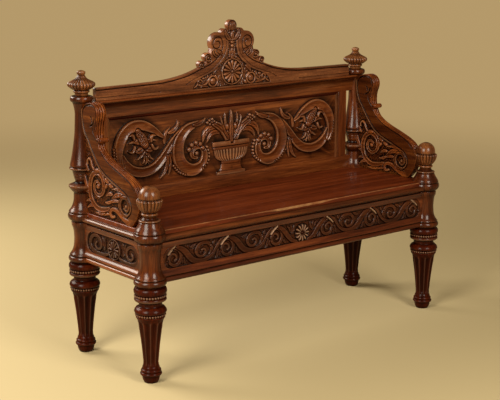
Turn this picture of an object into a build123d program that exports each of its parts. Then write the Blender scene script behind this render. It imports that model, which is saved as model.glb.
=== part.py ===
# Hall bench: turned legs, posts and finials, a panelled back with a shaped crest,
# shaped arms and a fixed seat on a tenoned rail frame.
# Millimetres, +Z up, origin on the floor under the middle of the bench, the front faces -Y.
from build123d import *
import os

# Layout of the frame
post_span_x = 1180.0  # between post axes, left to right
post_span_y = 360.0  # between post axes, front to rear
seat_height = 460.0  # floor to seat surface
post_below_seat = 174.0  # part of each post under the seat surface
rear_post_rise = 363.0  # part of a rear post over the seat surface

# Fits
joint_clearance = 0.15  # all round a tenon, spigot, dowel or floating panel
scribe_clearance = 0.3  # between a turned post and a board fitted to it

# Spigots and dowels
leg_spigot_radius = 15.0
leg_spigot_length = 26.0
finial_spigot_radius = 8.0
finial_spigot_length = 24.0
dowel_radius = 4.0
dowel_depth = 18.0  # into each of the two pieces that a dowel joins

# Fluted column of a leg
flute_count = 10
flute_foot_radius = 4.6  # cutter radius at the slim end
flute_head_radius = 7.4  # cutter radius at the thick end
flute_depth = 3.2
flute_end_land = 6.0  # column left plain at each end of a flute

# Seat
seat_thickness = 34.0
seat_overhang = 14.0  # seat edge outside the post axes, at the front and sides
seat_edge_round = 3.0
seat_moulding_drop = 13.0  # seat surface to the top of its edge moulding
seat_moulding_rise = 19.0
seat_moulding_reach = 14.0

# Rails under the seat
rail_depth = 125.0
rail_thickness = 30.0
rail_face_offset = 15.0  # outer rail faces outside the post axes
tenon_thickness = 10.0
tenon_offset = 6.0  # tenon centre outside the post axis
tenon_margin = 18.0  # rail shoulder over and under a tenon
tenon_stop = 1.0  # tenon end short of the post axis
tenon_spigot_gap = 6.0  # wood between a tenon and the leg spigot
frieze_rise = 65.0  # height of the sunk field for the carving
frieze_drop = 20.0  # rail top to the sunk field
frieze_depth = 8.0
frieze_end_gap = 50.0  # end of the field from the post axis
rail_bead_radius = 8.0
rail_quirk = 4.0  # flat groove over the bead
rail_ogee_rise = 18.0
rail_ogee_reach = 8.0

# Framing under the seat
bearer_width = 60.0
bearer_depth = 40.0
bearer_tenon_length = 10.0
block_leg = 105.0  # corner block along each rail
block_rise = 70.0
block_drop = 12.0  # block top under the seat
screw_shank_radius = 2.3
screw_head_radius = 4.6
screw_head_rise = 3.0
screw_grip = 18.0  # screw length in the rail
screw_corner_gap = 74.0  # screw from the corner of the two rails
screw_cover = 15.0  # wood of the block under the screw head
glue_block_size = 24.0
glue_block_length = 70.0
glue_block_pitch = 330.0

# Back frame
back_front_offset = 8.0  # face of the back frame in front of the rear post axis
back_thickness = 28.0
back_rail_end_gap = 12.0  # square end of a back rail from the post axis
top_rail_rise = 45.0
bottom_rail_rise = 45.0
stile_width = 40.0
stile_post_gap = 50.0  # outer stile edge from the post axis
back_tenon_thickness = 9.0
back_tenon_margin = 8.0
back_tenon_stop = 6.0
stile_tenon_length = 22.0
panel_thickness = 10.0
panel_setback = 14.0  # face of the panel behind the face of the frame
panel_tongue = 8.0  # panel edge let into the frame
panel_carving_rise = 8.0  # flat bands of the carving over the ground of the panel
panel_moulding_width = 17.0
panel_moulding_depth = 12.0

# Cornice and crest
cornice_rise = 12.0
cornice_reach = 22.0  # in front of the back frame
cornice_post_drop = 21.0  # cornice top under the top of the rear post
cornice_lip = 6.0
cornice_cove_drop = 22.0  # cornice base to the foot of its cove
cornice_cove_fillet = 3.0
crest_thickness = 22.0
crest_cornice_setback = 15.0  # crest face behind the front of the cornice
crest_end_gap = 45.0  # crest end from the post axis
crest_end_rise = 41.0
crest_dowel_near = 150.0  # inner pair of crest dowels from the middle
crest_dowel_far = 400.0

# Arms
arm_thickness = 27.0
arm_scroll_thickness = 34.5
arm_ground_depth = 5.0  # sunk ground under the arm's band, on each side
arm_rear_gap = 18.0  # straight rear edge in front of the rear post axis
arm_roll_radius = 7.5  # small roll under the top scroll
arm_roll_overhang = 2.75  # roll past each side of the scroll
arm_dowel_low = 82.0  # lower dowel to the rear post, over the seat
arm_dowel_high = 240.0
arm_seat_dowel_front = 95.0  # behind the front post axis
arm_seat_dowel_rear = 100.0  # in front of the rear post axis

# Levels and lines worked out from the sizes above
post_x = post_span_x / 2
post_y = post_span_y / 2
post_base = seat_height - post_below_seat
rear_post_top = seat_height + rear_post_rise
rail_top = seat_height - seat_thickness
rail_bottom = rail_top - rail_depth
cornice_top = rear_post_top - cornice_post_drop
cornice_base = cornice_top - cornice_rise
top_rail_base = cornice_base - top_rail_rise
bottom_rail_top = seat_height + bottom_rail_rise
back_face = post_y - back_front_offset
back_rear = back_face + back_thickness
cornice_face = back_face - cornice_reach
crest_face = cornice_face + crest_cornice_setback
crest_rear = crest_face + crest_thickness
stile_outer = post_x - stile_post_gap
stile_inner = stile_outer - stile_width
panel_face = back_face + panel_setback
rail_inner_x = post_x + rail_face_offset - rail_thickness
rail_inner_y = post_y + rail_face_offset - rail_thickness


class Turning:
    # Members of a turned piece on the Z axis, stacked from the bottom up.
    def __init__(self, base, radius):
        self.base = base
        self.radius = radius
        self.top = base
        self.members = []

    def add(self, form, rise, radius, shape=None):
        self.members.append((form, rise, radius, shape))
        self.top += rise
        return self

    def line(self, rise, radius):
        return self.add("line", rise, radius)

    def step(self, radius):
        # flat shoulder
        return self.add("line", 0.0, radius)

    def arc(self, rise, radius, swell):
        # swell is the radius halfway up
        return self.add("arc", rise, radius, swell)

    def dome(self, rise):
        # cap of a sphere that closes the top
        return self.add("dome", rise, 0.0)

    def solid(self, grow=0.0):
        z = self.base
        r = self.radius + grow
        edges = [Edge.make_line((0, 0, z), (r, 0, z))]
        for form, rise, radius, shape in self.members:
            start = Vector(r, 0, z)
            r = radius + grow if radius > 0 else 0
            end = Vector(r, 0, z + rise)
            if form == "line":
                edges.append(Edge.make_line(start, end))
            elif form == "arc":
                middle = Vector(shape + grow, 0, z + rise / 2)
                edges.append(Edge.make_three_point_arc(start, middle, end))
            else:
                sphere = (start.X**2 + rise**2) / (2 * rise)
                centre = Vector(0, 0, z + rise - sphere)
                middle = centre + ((start - centre) + (end - centre)).normalized() * sphere
                edges.append(Edge.make_three_point_arc(start, middle, end))
            z += rise
        if r > 0:
            edges.append(Edge.make_line((r, 0, z), (0, 0, z)))
        edges.append(Edge.make_line((0, 0, z), (0, 0, self.base)))
        return revolve(Face(Wire(edges)), axis=Axis.Z)


def span(x_ends, y_ends, z_ends, grow=0.0):
    # Box between two corners, with a clearance all round
    ends = [sorted(pair) for pair in (x_ends, y_ends, z_ends)]
    sizes = [high - low + 2 * grow for low, high in ends]
    middle = [(low + high) / 2 for low, high in ends]
    return Pos(*middle) * Box(*sizes)


def rod(radius, start, direction, length):
    # Round bar from a point along a direction
    plane = Plane(origin=start, z_dir=direction)
    return extrude(plane * Circle(radius), amount=length)


def flip(shape):
    # The same piece on the other side of the bench
    return mirror(shape, about=Plane.YZ)


def ribbon(line, place):
    # Face of a band along (first, second, half width) points; place turns two numbers into a point in space
    lefts = []
    rights = []
    for index, (first, second, half_width) in enumerate(line):
        before = line[max(index - 1, 0)]
        after = line[min(index + 1, len(line) - 1)]
        step = Vector(after[0] - before[0], after[1] - before[1]).normalized() * half_width
        lefts.append(place(first - step.Y, second + step.X))
        rights.append(place(first + step.Y, second - step.X))
    rights.reverse()
    head = Edge.make_line(lefts[-1], rights[0])
    foot = Edge.make_line(rights[-1], lefts[0])
    return Face(Wire([Edge.make_spline(lefts), head, Edge.make_spline(rights), foot]))


def prism_along_x(points, x_low, x_high):
    # Straight length of a moulding whose section is a list of (y, z) corners
    section = make_face(Polyline(*[(x_low, y, z) for y, z in points], close=True))
    return extrude(section, amount=x_high - x_low, dir=(1, 0, 0))


def prism_along_y(points, y_low, y_high):
    # The same for (x, z) corners
    section = make_face(Polyline(*[(x, y_low, z) for x, z in points], close=True))
    return extrude(section, amount=y_high - y_low, dir=(0, 1, 0))


# Leg: foot, tapered column, cushion and disc. The column takes up what the seat height leaves.
# A member is its rise, the radius at its top and, where it is curved, the radius halfway up.
column_foot_radius = 23.5
column_head_radius = 36.8
foot_radius = 20.5
foot_swell = (22.0, 27.2, 25.6)
foot_ring = (20.0, 27.5, 32.4)
foot_fillet = (6.0, 26.2)
column_shoulder = 4.0
column_land = 8.0
column_flare = (10.0, 39.8)
column_lip_bevel = (6.0, 44.8)
column_lip = (6.0, 45.2)
bead_ring = (7.0, 46.8, 46.6)
cushion_foot = (7.0, 48.9, 48.4)
cushion_head = (18.5, 35.4, 45.0)
cushion_bevel = (3.0, 33.8)
disc_neck = (9.0, 33.8)
disc_foot = (12.0, 47.4, 42.4)
disc_bead_band = (10.5, 47.6, 49.4)
disc_head = (18.0, 45.5, 50.2)
disc_bevel = (3.0, 40.0)
leg_base = Turning(0, foot_radius)
leg_base.arc(*foot_swell)
leg_base.arc(*foot_ring)
leg_base.line(*foot_fillet)
leg_base.line(column_shoulder, column_foot_radius)
leg_base.line(column_land, column_foot_radius)
leg_head = Turning(0, column_head_radius)
leg_head.line(*column_flare)
leg_head.line(*column_lip_bevel)
leg_head.line(*column_lip)
leg_head.arc(*bead_ring)
leg_head.arc(*cushion_foot)
leg_head.arc(*cushion_head)
leg_head.line(*cushion_bevel)
leg_head.line(*disc_neck)
leg_head.arc(*disc_foot)
leg_head.arc(*disc_bead_band)
leg_head.arc(*disc_head)
leg_head.line(*disc_bevel)
column_rise = post_base - leg_base.top - leg_head.top
column_base = leg_base.top
leg_turning = Turning(0, leg_base.radius)
leg_turning.members = leg_base.members + [("line", column_rise, column_head_radius, None)] + leg_head.members
leg_turning.top = post_base


def flute_cutter():
    # Tapered bar with round ends that lies along the column's slope
    low = column_base + flute_end_land + flute_foot_radius
    high = column_base + column_rise - flute_end_land - flute_head_radius
    slope = (column_head_radius - column_foot_radius) / column_rise
    low_radius = column_foot_radius + slope * (low - column_base)
    high_radius = column_foot_radius + slope * (high - column_base)
    low_point = Vector(low_radius + flute_foot_radius - flute_depth, 0, low)
    high_point = Vector(high_radius + flute_head_radius - flute_depth, 0, high)
    axis = high_point - low_point
    plane = Plane(origin=low_point, z_dir=axis)
    align = (Align.CENTER, Align.CENTER, Align.MIN)
    bar = plane * Cone(flute_foot_radius, flute_head_radius, axis.length, align=align)
    low_end = Pos(*low_point) * Sphere(flute_foot_radius)
    high_end = Pos(*high_point) * Sphere(flute_head_radius)
    return bar + low_end + high_end


def make_leg():
    body = leg_turning.solid()
    cutter = flute_cutter()
    turn = 360 / flute_count
    body -= [Rot(0, 0, turn * index) * cutter for index in range(flute_count)]
    return body + rod(leg_spigot_radius, (0, 0, post_base), (0, 0, 1), leg_spigot_length)


# Post: shared lower part up to the seat surface. The trumpet takes up the rest.
post_foot = (4.0, 39.0)
rail_ring_bevel = (2.0, 43.0)
rail_ring = (18.0, 46.6, 49.7)
rail_ring_groove = (2.5, 45.0)
trumpet_foot_radius = 46.2
trumpet_waist_radius = 31.4
trumpet_middle_radius = 35.2
trumpet_rise = (29.0, 33.8, 31.3)
trumpet_flare = (9.0, 38.2, 35.6)
seat_ring_groove = (8.0, 37.6)
seat_ring = (25.0, 47.4, 48.4)
seat_band = (14.0, 46.2)
trumpet_head = [trumpet_rise, trumpet_flare, seat_ring_groove, seat_ring, seat_band]
post_turning = Turning(post_base, post_foot[1])
post_turning.line(*post_foot)
post_turning.line(*rail_ring_bevel)
post_turning.arc(*rail_ring)
post_turning.step(rail_ring_groove[1])
post_turning.line(*rail_ring_groove)
post_turning.step(trumpet_foot_radius)
trumpet_fall = seat_height - post_turning.top - sum(member[0] for member in trumpet_head)
post_turning.arc(trumpet_fall, trumpet_waist_radius, trumpet_middle_radius)
post_turning.arc(*trumpet_rise)
post_turning.arc(*trumpet_flare)
post_turning.line(*seat_ring_groove)
post_turning.arc(*seat_ring)
post_turning.step(seat_band[1])
post_turning.line(*seat_band)


def turning_on(lower):
    # New turning that goes on from the top of a finished one
    upper = Turning(lower.base, lower.radius)
    upper.members = list(lower.members)
    upper.top = lower.top
    return upper


front_foot_radius = 45.2
front_foot = (6.5, 43.2)
front_cone = (22.5, 30.8, 36.0)
front_cone_head = (7.0, 27.2)
front_bead_bevel = (2.0, 24.6)
front_bead = (5.0, 20.5, 23.6)
front_turning = turning_on(post_turning)
front_turning.step(front_foot_radius)
front_turning.line(*front_foot)
front_turning.arc(*front_cone)
front_turning.line(*front_cone_head)
front_turning.line(*front_bead_bevel)
front_turning.arc(*front_bead)

rear_cove_radius = 45.4
rear_cove = (39.0, 30.2, 34.0)
rear_neck = (20.0, 29.8)
flange_foot = (17.0, 44.6, 38.6)
flange_edge = (7.0, 44.4)
flange_top = (8.0, 25.0, 33.2)
stem_neck = (5.0, 24.0)
stem_bevel = (4.0, 26.5)
stem_low_ring = (9.5, 28.4)
stem_middle_radius = 29.4
stem_middle_ring = (9.5, 30.6)
stem_high_radius = 31.6
stem_high_ring = (8.0, 32.8)
stem_flare = (5.0, 37.0)
vase_disc = (6.5, 41.8, 42.4)
vase_groove = (3.5, 38.0)
vase_lip_radius = 39.8
vase_lip = (3.0, 40.2)
vase_body = (105.0, 23.8, 30.2)
vase_neck_radius = 22.0
vase_flare = (43.0, 29.4, 23.4)
collar_bevel = (2.5, 33.6)
collar = (17.5, 33.0, 36.2)
rear_turning = turning_on(post_turning)
rear_turning.step(rear_cove_radius)
rear_turning.arc(*rear_cove)
rear_turning.line(*rear_neck)
rear_turning.arc(*flange_foot)
rear_turning.line(*flange_edge)
rear_turning.arc(*flange_top)
rear_turning.line(*stem_neck)
rear_turning.line(*stem_bevel)
rear_turning.line(*stem_low_ring)
rear_turning.step(stem_middle_radius)
rear_turning.line(*stem_middle_ring)
rear_turning.step(stem_high_radius)
rear_turning.line(*stem_high_ring)
rear_turning.line(*stem_flare)
rear_turning.step(vase_disc[1])
rear_turning.arc(*vase_disc)
rear_turning.step(vase_groove[1])
rear_turning.line(*vase_groove)
rear_turning.step(vase_lip_radius)
rear_turning.line(*vase_lip)
rear_turning.arc(*vase_body)
vase_neck_rise = rear_post_top - collar[0] - collar_bevel[0] - vase_flare[0] - rear_turning.top
rear_turning.line(vase_neck_rise, vase_neck_radius)
rear_turning.arc(*vase_flare)
rear_turning.line(*collar_bevel)
rear_turning.arc(*collar)

acorn_neck = (5.5, 19.2)
acorn_ring_edge = 22.4
acorn_ring = (7.5, 21.6, 25.0)
acorn_bevel = (1.5, 20.8)
acorn_cup = (32.5, 38.8, 34.2)
acorn_rim = (5.5, 37.0, 39.4)
acorn_rim_bevel = (1.0, 35.4)
acorn_dome = (24.0, 27.6, 32.4)
acorn_tip = 16.5
acorn_turning = Turning(front_turning.top, acorn_neck[1])
acorn_turning.line(*acorn_neck)
acorn_turning.step(acorn_ring_edge)
acorn_turning.arc(*acorn_ring)
acorn_turning.line(*acorn_bevel)
acorn_turning.arc(*acorn_cup)
acorn_turning.arc(*acorn_rim)
acorn_turning.line(*acorn_rim_bevel)
acorn_turning.arc(*acorn_dome)
acorn_turning.dome(acorn_tip)

turban_neck = (9.0, 20.9)
turban_ring_edge = 23.0
turban_ring = (8.0, 23.0, 25.5)
turban_foot_radius = 26.0
turban_cup = (21.0, 43.2, 37.4)
turban_shoulder = (9.0, 37.0, 42.0)
turban_cap = (15.0, 11.0, 21.0)
knob_neck = (3.0, 9.4)
knob = (10.0, 12.5, 14.5)
knob_tip = 4.0
turban_turning = Turning(rear_turning.top, turban_neck[1])
turban_turning.line(*turban_neck)
turban_turning.step(turban_ring_edge)
turban_turning.arc(*turban_ring)
turban_turning.step(turban_foot_radius)
turban_turning.arc(*turban_cup)
turban_turning.arc(*turban_shoulder)
turban_turning.arc(*turban_cap)
turban_turning.line(*knob_neck)
turban_turning.arc(*knob)
turban_turning.dome(knob_tip)

# Outlines of the posts that boards are fitted round, at the right
front_post_space = Pos(post_x, -post_y, 0) * front_turning.solid(scribe_clearance)
rear_post_space = Pos(post_x, post_y, 0) * rear_turning.solid(scribe_clearance)
acorn_space = Pos(post_x, -post_y, 0) * acorn_turning.solid(scribe_clearance)


# Tenons at the right-hand posts, each made to size or as the mortise round it
tenon_low = max(rail_bottom + tenon_margin, post_base + leg_spigot_length + tenon_spigot_gap)
tenon_high = rail_top - tenon_margin


def front_back_tenon(side_y, grow=0.0):
    # End of the front or rear rail in the right post
    middle = side_y * (post_y + tenon_offset)
    y_ends = (middle - tenon_thickness / 2, middle + tenon_thickness / 2)
    x_ends = (rail_inner_x - rail_thickness, post_x - tenon_stop)
    return span(x_ends, y_ends, (tenon_low, tenon_high), grow)


def side_tenon(side_y, grow=0.0):
    # End of the right rail in the front or rear post
    middle = post_x + tenon_offset
    x_ends = (middle - tenon_thickness / 2, middle + tenon_thickness / 2)
    y_ends = (side_y * (rail_inner_y - rail_thickness), side_y * (post_y - tenon_stop))
    return span(x_ends, y_ends, (tenon_low, tenon_high), grow)


def back_tenon(base, rise, grow=0.0):
    # End of a back rail in the right rear post
    middle = back_face + back_thickness / 2
    y_ends = (middle - back_tenon_thickness / 2, middle + back_tenon_thickness / 2)
    x_ends = (stile_outer, post_x - back_tenon_stop)
    z_ends = (base + back_tenon_margin, base + rise - back_tenon_margin)
    return span(x_ends, y_ends, z_ends, grow)


def stile_tenon(top, grow=0.0):
    # End of the right stile in the top or bottom rail of the back
    middle = back_face + back_thickness / 2
    y_ends = (middle - back_tenon_thickness / 2, middle + back_tenon_thickness / 2)
    x_ends = (stile_inner + back_tenon_margin, stile_outer - back_tenon_margin)
    if top:
        z_ends = (top_rail_base, top_rail_base + stile_tenon_length)
    else:
        z_ends = (bottom_rail_top - stile_tenon_length, bottom_rail_top)
    return span(x_ends, y_ends, z_ends, grow)


# Dowels and their holes at the right-hand side and across the back
def arm_dowels(grow=0.0):
    rear_edge = post_y - arm_rear_gap
    length = 2 * dowel_depth
    radius = dowel_radius + grow
    bars = []
    for height in (arm_dowel_low, arm_dowel_high):
        end = (post_x, rear_edge - dowel_depth - grow, seat_height + height)
        bars.append(rod(radius, end, (0, 1, 0), length + 2 * grow))
    for y in (arm_seat_dowel_front - post_y, post_y - arm_seat_dowel_rear):
        end = (post_x, y, seat_height - dowel_depth - grow)
        bars.append(rod(radius, end, (0, 0, 1), length + 2 * grow))
    return bars


def crest_dowels(grow=0.0):
    y = (max(crest_face, back_face) + min(crest_rear, back_rear)) / 2
    length = cornice_rise + 2 * dowel_depth + 2 * grow
    low = cornice_base - dowel_depth - grow
    places = (-crest_dowel_far, -crest_dowel_near, crest_dowel_near, crest_dowel_far)
    return [rod(dowel_radius + grow, (x, y, low), (0, 0, 1), length) for x in places]


def back_dowels(grow=0.0):
    y = back_face + back_thickness / 2
    low = seat_height - dowel_depth - grow
    length = 2 * dowel_depth + 2 * grow
    places = (-crest_dowel_far, 0, crest_dowel_far)
    return [rod(dowel_radius + grow, (x, y, low), (0, 0, 1), length) for x in places]


def both_sides(shapes):
    return shapes + [flip(shape) for shape in shapes]


dowel_holes = both_sides(arm_dowels(joint_clearance))

pieces = {}

# Legs
leg = make_leg()
for end, side_y in (("front", -1), ("rear", 1)):
    pieces[end + "_right_leg"] = Pos(post_x, side_y * post_y, 0) * leg


# Posts, with sockets for the leg and the finial and mortises for the rails
def post_sockets(turning):
    leg_socket = rod(leg_spigot_radius + joint_clearance, (0, 0, post_base), (0, 0, 1),
                     leg_spigot_length + joint_clearance)
    finial_socket = rod(finial_spigot_radius + joint_clearance, (0, 0, turning.top), (0, 0, -1),
                        finial_spigot_length + joint_clearance)
    return [leg_socket, finial_socket]


front_post = Pos(post_x, -post_y, 0) * (front_turning.solid() - post_sockets(front_turning))
front_post -= front_back_tenon(-1, joint_clearance)
front_post -= side_tenon(-1, joint_clearance)
pieces["front_right_post"] = front_post

rear_post = Pos(post_x, post_y, 0) * (rear_turning.solid() - post_sockets(rear_turning))
rear_post -= front_back_tenon(1, joint_clearance)
rear_post -= side_tenon(1, joint_clearance)
rear_post -= back_tenon(seat_height, bottom_rail_rise, joint_clearance)
rear_post -= back_tenon(top_rail_base, top_rail_rise, joint_clearance)
rear_post -= dowel_holes
pieces["rear_right_post"] = rear_post


# Finials
def make_finial(turning):
    spigot = rod(finial_spigot_radius, (0, 0, turning.base), (0, 0, -1), finial_spigot_length)
    return turning.solid() + spigot


pieces["front_right_finial"] = Pos(post_x, -post_y, 0) * make_finial(acorn_turning)
pieces["rear_right_finial"] = Pos(post_x, post_y, 0) * make_finial(turban_turning)

# Screws that hold the corner blocks to the rails, at a right-hand corner
screw_level = rail_top - block_drop - block_rise / 2


def corner_screws(side_y, grow=0.0):
    lanes = []
    on_end_rail = (rail_inner_x - screw_corner_gap, side_y * (rail_inner_y - screw_cover), screw_level)
    lanes.append((on_end_rail, (0, side_y, 0)))
    on_side_rail = (rail_inner_x - screw_cover, side_y * (rail_inner_y - screw_corner_gap), screw_level)
    lanes.append((on_side_rail, (1, 0, 0)))
    bars = []
    for place, direction in lanes:
        shank = rod(screw_shank_radius + grow, place, direction, screw_cover + screw_grip + grow)
        away = tuple(-part for part in direction)
        # a hole leaves the way open for the head, right out of the block
        head_rise = screw_head_rise if grow == 0 else block_leg
        bars.append(shank + rod(screw_head_radius + grow, place, away, head_rise))
    return bars


front_screw_holes = both_sides(corner_screws(-1, joint_clearance))
rear_screw_holes = both_sides(corner_screws(1, joint_clearance))

# Front and rear rails with the cross bearer between them
bearer_half = bearer_width / 2
bearer_low = rail_top - bearer_depth


def bearer_tenon(side_y, grow=0.0):
    y_ends = (side_y * rail_inner_y, side_y * (rail_inner_y + bearer_tenon_length))
    x_ends = (tenon_margin - bearer_half, bearer_half - tenon_margin)
    z_ends = (bearer_low + back_tenon_margin, rail_top - back_tenon_margin)
    return span(x_ends, y_ends, z_ends, grow)


def make_long_rail(side_y, post_space, screw_holes):
    y_ends = (side_y * rail_inner_y, side_y * (post_y + rail_face_offset))
    rail = span((-post_x, post_x), y_ends, (rail_bottom, rail_top))
    rail -= [post_space, flip(post_space)]
    rail += both_sides([front_back_tenon(side_y)])
    rail -= bearer_tenon(side_y, joint_clearance)
    return rail - screw_holes


frieze_top = rail_top - frieze_drop
frieze_middle = frieze_top - frieze_rise / 2


def frieze_field(length):
    # Sunk field with round ends, in the XY plane
    return extrude(SlotOverall(length, frieze_rise), amount=frieze_depth)


front_face = -post_y - rail_face_offset
front_field_plane = Plane(origin=(0, front_face, frieze_middle), x_dir=(1, 0, 0), z_dir=(0, 1, 0))
front_field = front_field_plane * frieze_field(2 * (post_x - frieze_end_gap))
pieces["front_rail"] = make_long_rail(-1, front_post_space, front_screw_holes) - front_field
pieces["rear_rail"] = make_long_rail(1, rear_post_space, rear_screw_holes)

# Side rail
side_face = post_x + rail_face_offset
side_rail = span((rail_inner_x, side_face), (-post_y, post_y), (rail_bottom, rail_top))
side_rail -= [front_post_space, rear_post_space]
side_rail += [side_tenon(-1), side_tenon(1)]
side_field_plane = Plane(origin=(side_face, 0, frieze_middle), x_dir=(0, 1, 0), z_dir=(-1, 0, 0))
side_rail -= side_field_plane * frieze_field(2 * (post_y - frieze_end_gap))
side_rail -= front_screw_holes + rear_screw_holes
pieces["right_side_rail"] = side_rail

# Moulding along the foot of the front and side rails: bead, groove and ogee
bead_top = rail_bottom + 2 * rail_bead_radius
quirk_top = bead_top + rail_quirk
ogee_top = quirk_top + rail_ogee_rise


def rail_moulding_section():
    # Section in (out from the rail face, height)
    half = rail_ogee_reach / 2
    bead_middle = rail_bottom + rail_bead_radius
    return [(0, bead_middle), (half, bead_middle), (half, quirk_top), (rail_ogee_reach, quirk_top),
            (half, quirk_top + rail_ogee_rise / 2), (0, ogee_top)]


front_moulding = prism_along_x([(front_face - out, z) for out, z in rail_moulding_section()], -post_x, post_x)
bead_plane = Plane(origin=(-post_x, front_face, rail_bottom + rail_bead_radius), z_dir=(1, 0, 0))
bead = extrude(bead_plane * Circle(rail_bead_radius), amount=post_span_x)
front_behind = span((-post_x, post_x), (front_face, front_face + rail_thickness), (rail_bottom, rail_top))
front_moulding = front_moulding + (bead - front_behind)
front_moulding -= [front_post_space, flip(front_post_space)]
pieces["front_rail_moulding"] = front_moulding

side_moulding = prism_along_y([(side_face + out, z) for out, z in rail_moulding_section()], -post_y, post_y)
bead_plane = Plane(origin=(side_face, -post_y, rail_bottom + rail_bead_radius), z_dir=(0, 1, 0))
bead = extrude(bead_plane * Circle(rail_bead_radius), amount=post_span_y)
side_behind = span((side_face - rail_thickness, side_face), (-post_y, post_y), (rail_bottom, rail_top))
side_moulding = side_moulding + (bead - side_behind)
side_moulding -= [front_post_space, rear_post_space]
pieces["right_rail_moulding"] = side_moulding

# Cross bearer under the seat
bearer_y = (-rail_inner_y, rail_inner_y)
bearer = span((-bearer_half, bearer_half), bearer_y, (bearer_low, rail_top))
pieces["seat_bearer"] = bearer + [bearer_tenon(-1), bearer_tenon(1)]

# Corner blocks and their screws
for end, side_y, post_space in (("front", -1, front_post_space), ("rear", 1, rear_post_space)):
    corner = (rail_inner_x, side_y * rail_inner_y)
    along_x = (corner[0] - block_leg, corner[1])
    along_y = (corner[0], corner[1] - side_y * block_leg)
    outline = make_face(Polyline(corner, along_x, along_y, close=True))
    block = extrude(Pos(0, 0, rail_top - block_drop - block_rise) * outline, amount=block_rise, dir=(0, 0, 1))
    block -= post_space
    block -= corner_screws(side_y, joint_clearance)
    pieces[end + "_right_corner_block"] = block

screws = both_sides(corner_screws(-1) + corner_screws(1))
pieces["corner_block_screws"] = Compound(children=screws)

# Glue blocks in the angle of the seat and the long rails
glue_blocks = []
for side_y in (-1, 1):
    y_ends = (side_y * rail_inner_y, side_y * (rail_inner_y - glue_block_size))
    for x in (-glue_block_pitch, glue_block_pitch):
        x_ends = (x - glue_block_length / 2, x + glue_block_length / 2)
        glue_blocks.append(span(x_ends, y_ends, (rail_top - glue_block_size, rail_top)))
pieces["seat_glue_blocks"] = Compound(children=glue_blocks)

# Seat, fitted round the four posts
seat_front = -post_y - seat_overhang
seat_side = post_x + seat_overhang
seat = span((-seat_side, seat_side), (seat_front, back_rear), (rail_top, seat_height))
top_edges = seat.edges().filter_by(Plane.XY).group_by(Axis.Z)[-1].sort_by(Axis.Y)[:-1]
seat = fillet(top_edges, seat_edge_round)
seat -= both_sides([front_post_space, rear_post_space])
seat -= dowel_holes + back_dowels(joint_clearance)
pieces["seat_board"] = seat

# Half-round moulding along the seat edge
moulding_high = seat_height - seat_moulding_drop
moulding_low = moulding_high - seat_moulding_rise
moulding_middle = (moulding_high + moulding_low) / 2
nose = Edge.make_three_point_arc((0, seat_front, moulding_high),
                                 (0, seat_front - seat_moulding_reach, moulding_middle),
                                 (0, seat_front, moulding_low))
back_line = Edge.make_line((0, seat_front, moulding_low), (0, seat_front, moulding_high))
strip = extrude(Face(Wire([nose, back_line])), amount=post_x, dir=(1, 0, 0), both=True)
pieces["seat_front_moulding"] = strip - [front_post_space, flip(front_post_space)]
nose = Edge.make_three_point_arc((seat_side, 0, moulding_high),
                                 (seat_side + seat_moulding_reach, 0, moulding_middle),
                                 (seat_side, 0, moulding_low))
back_line = Edge.make_line((seat_side, 0, moulding_low), (seat_side, 0, moulding_high))
strip = extrude(Face(Wire([nose, back_line])), amount=post_y, dir=(0, 1, 0), both=True)
pieces["seat_right_moulding"] = strip - [front_post_space, rear_post_space]

# Back frame: rails between the rear posts, stiles between the rails, floating panel
panel_ends = (-stile_inner - panel_tongue, stile_inner + panel_tongue)
panel_y = (panel_face, panel_face + panel_thickness)
panel_z = (bottom_rail_top - panel_tongue, top_rail_base + panel_tongue)
panel_groove = span(panel_ends, panel_y, panel_z, joint_clearance)
rail_end = post_x - back_rail_end_gap


def make_back_rail(base, rise, top):
    rail = span((-rail_end, rail_end), (back_face, back_rear), (base, base + rise))
    rail -= both_sides([rear_post_space])
    rail += both_sides([back_tenon(base, rise)])
    rail -= both_sides([stile_tenon(top, joint_clearance)])
    return rail - panel_groove


pieces["back_top_rail"] = make_back_rail(top_rail_base, top_rail_rise, True) - crest_dowels(joint_clearance)
bottom_rail = make_back_rail(seat_height, bottom_rail_rise, False)
pieces["back_bottom_rail"] = bottom_rail - back_dowels(joint_clearance)
stile = span((stile_inner, stile_outer), (back_face, back_rear), (bottom_rail_top, top_rail_base))
stile -= rear_post_space
stile += [stile_tenon(True), stile_tenon(False)]
pieces["back_right_stile"] = stile - panel_groove

# Outer forms of the panel's carving: (distance from the stile, height over the seat, half width)
ring_from_stile = [(264.0, 196.0, 9.0), (208.0, 127.0, 16.0), (128.0, 93.0, 20.0), (54.0, 140.0, 24.0),
                   (60.0, 220.0, 20.0), (122.0, 255.0, 10.0)]
ring_band = [(stile_inner - distance, height, half_width) for distance, height, half_width in ring_from_stile]
flower_from_stile = 134.0
flower_centre = (stile_inner - flower_from_stile, 182.0)
flower_radius = 40.0

# Inner forms of the panel's carving: (distance from the middle, height over the seat, half width)
scroll_band = [(150.0, 231.0, 9.0), (212.0, 195.0, 20.0), (222.0, 120.0, 24.0), (165.0, 77.0, 22.0),
               (117.0, 115.0, 13.0), (137.0, 153.0, 8.0)]
horn_band = [(16.0, 160.0, 9.0), (47.0, 208.0, 14.0), (74.0, 224.0, 11.0)]
centre_leaf = [(0.0, 150.0, 6.0), (0.0, 205.0, 10.0), (0.0, 262.0, 2.0)]
urn_half = [(62.0, 46.0), (62.0, 55.0), (44.0, 66.0), (40.0, 90.0),
            (60.0, 102.0), (70.0, 118.0), (79.0, 144.0), (79.0, 157.0)]
carving_bite = 1.0  # carving let into the panel, so that they are one solid


def panel_point(from_middle, height):
    return Vector(from_middle, panel_face + carving_bite, seat_height + height)


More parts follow.
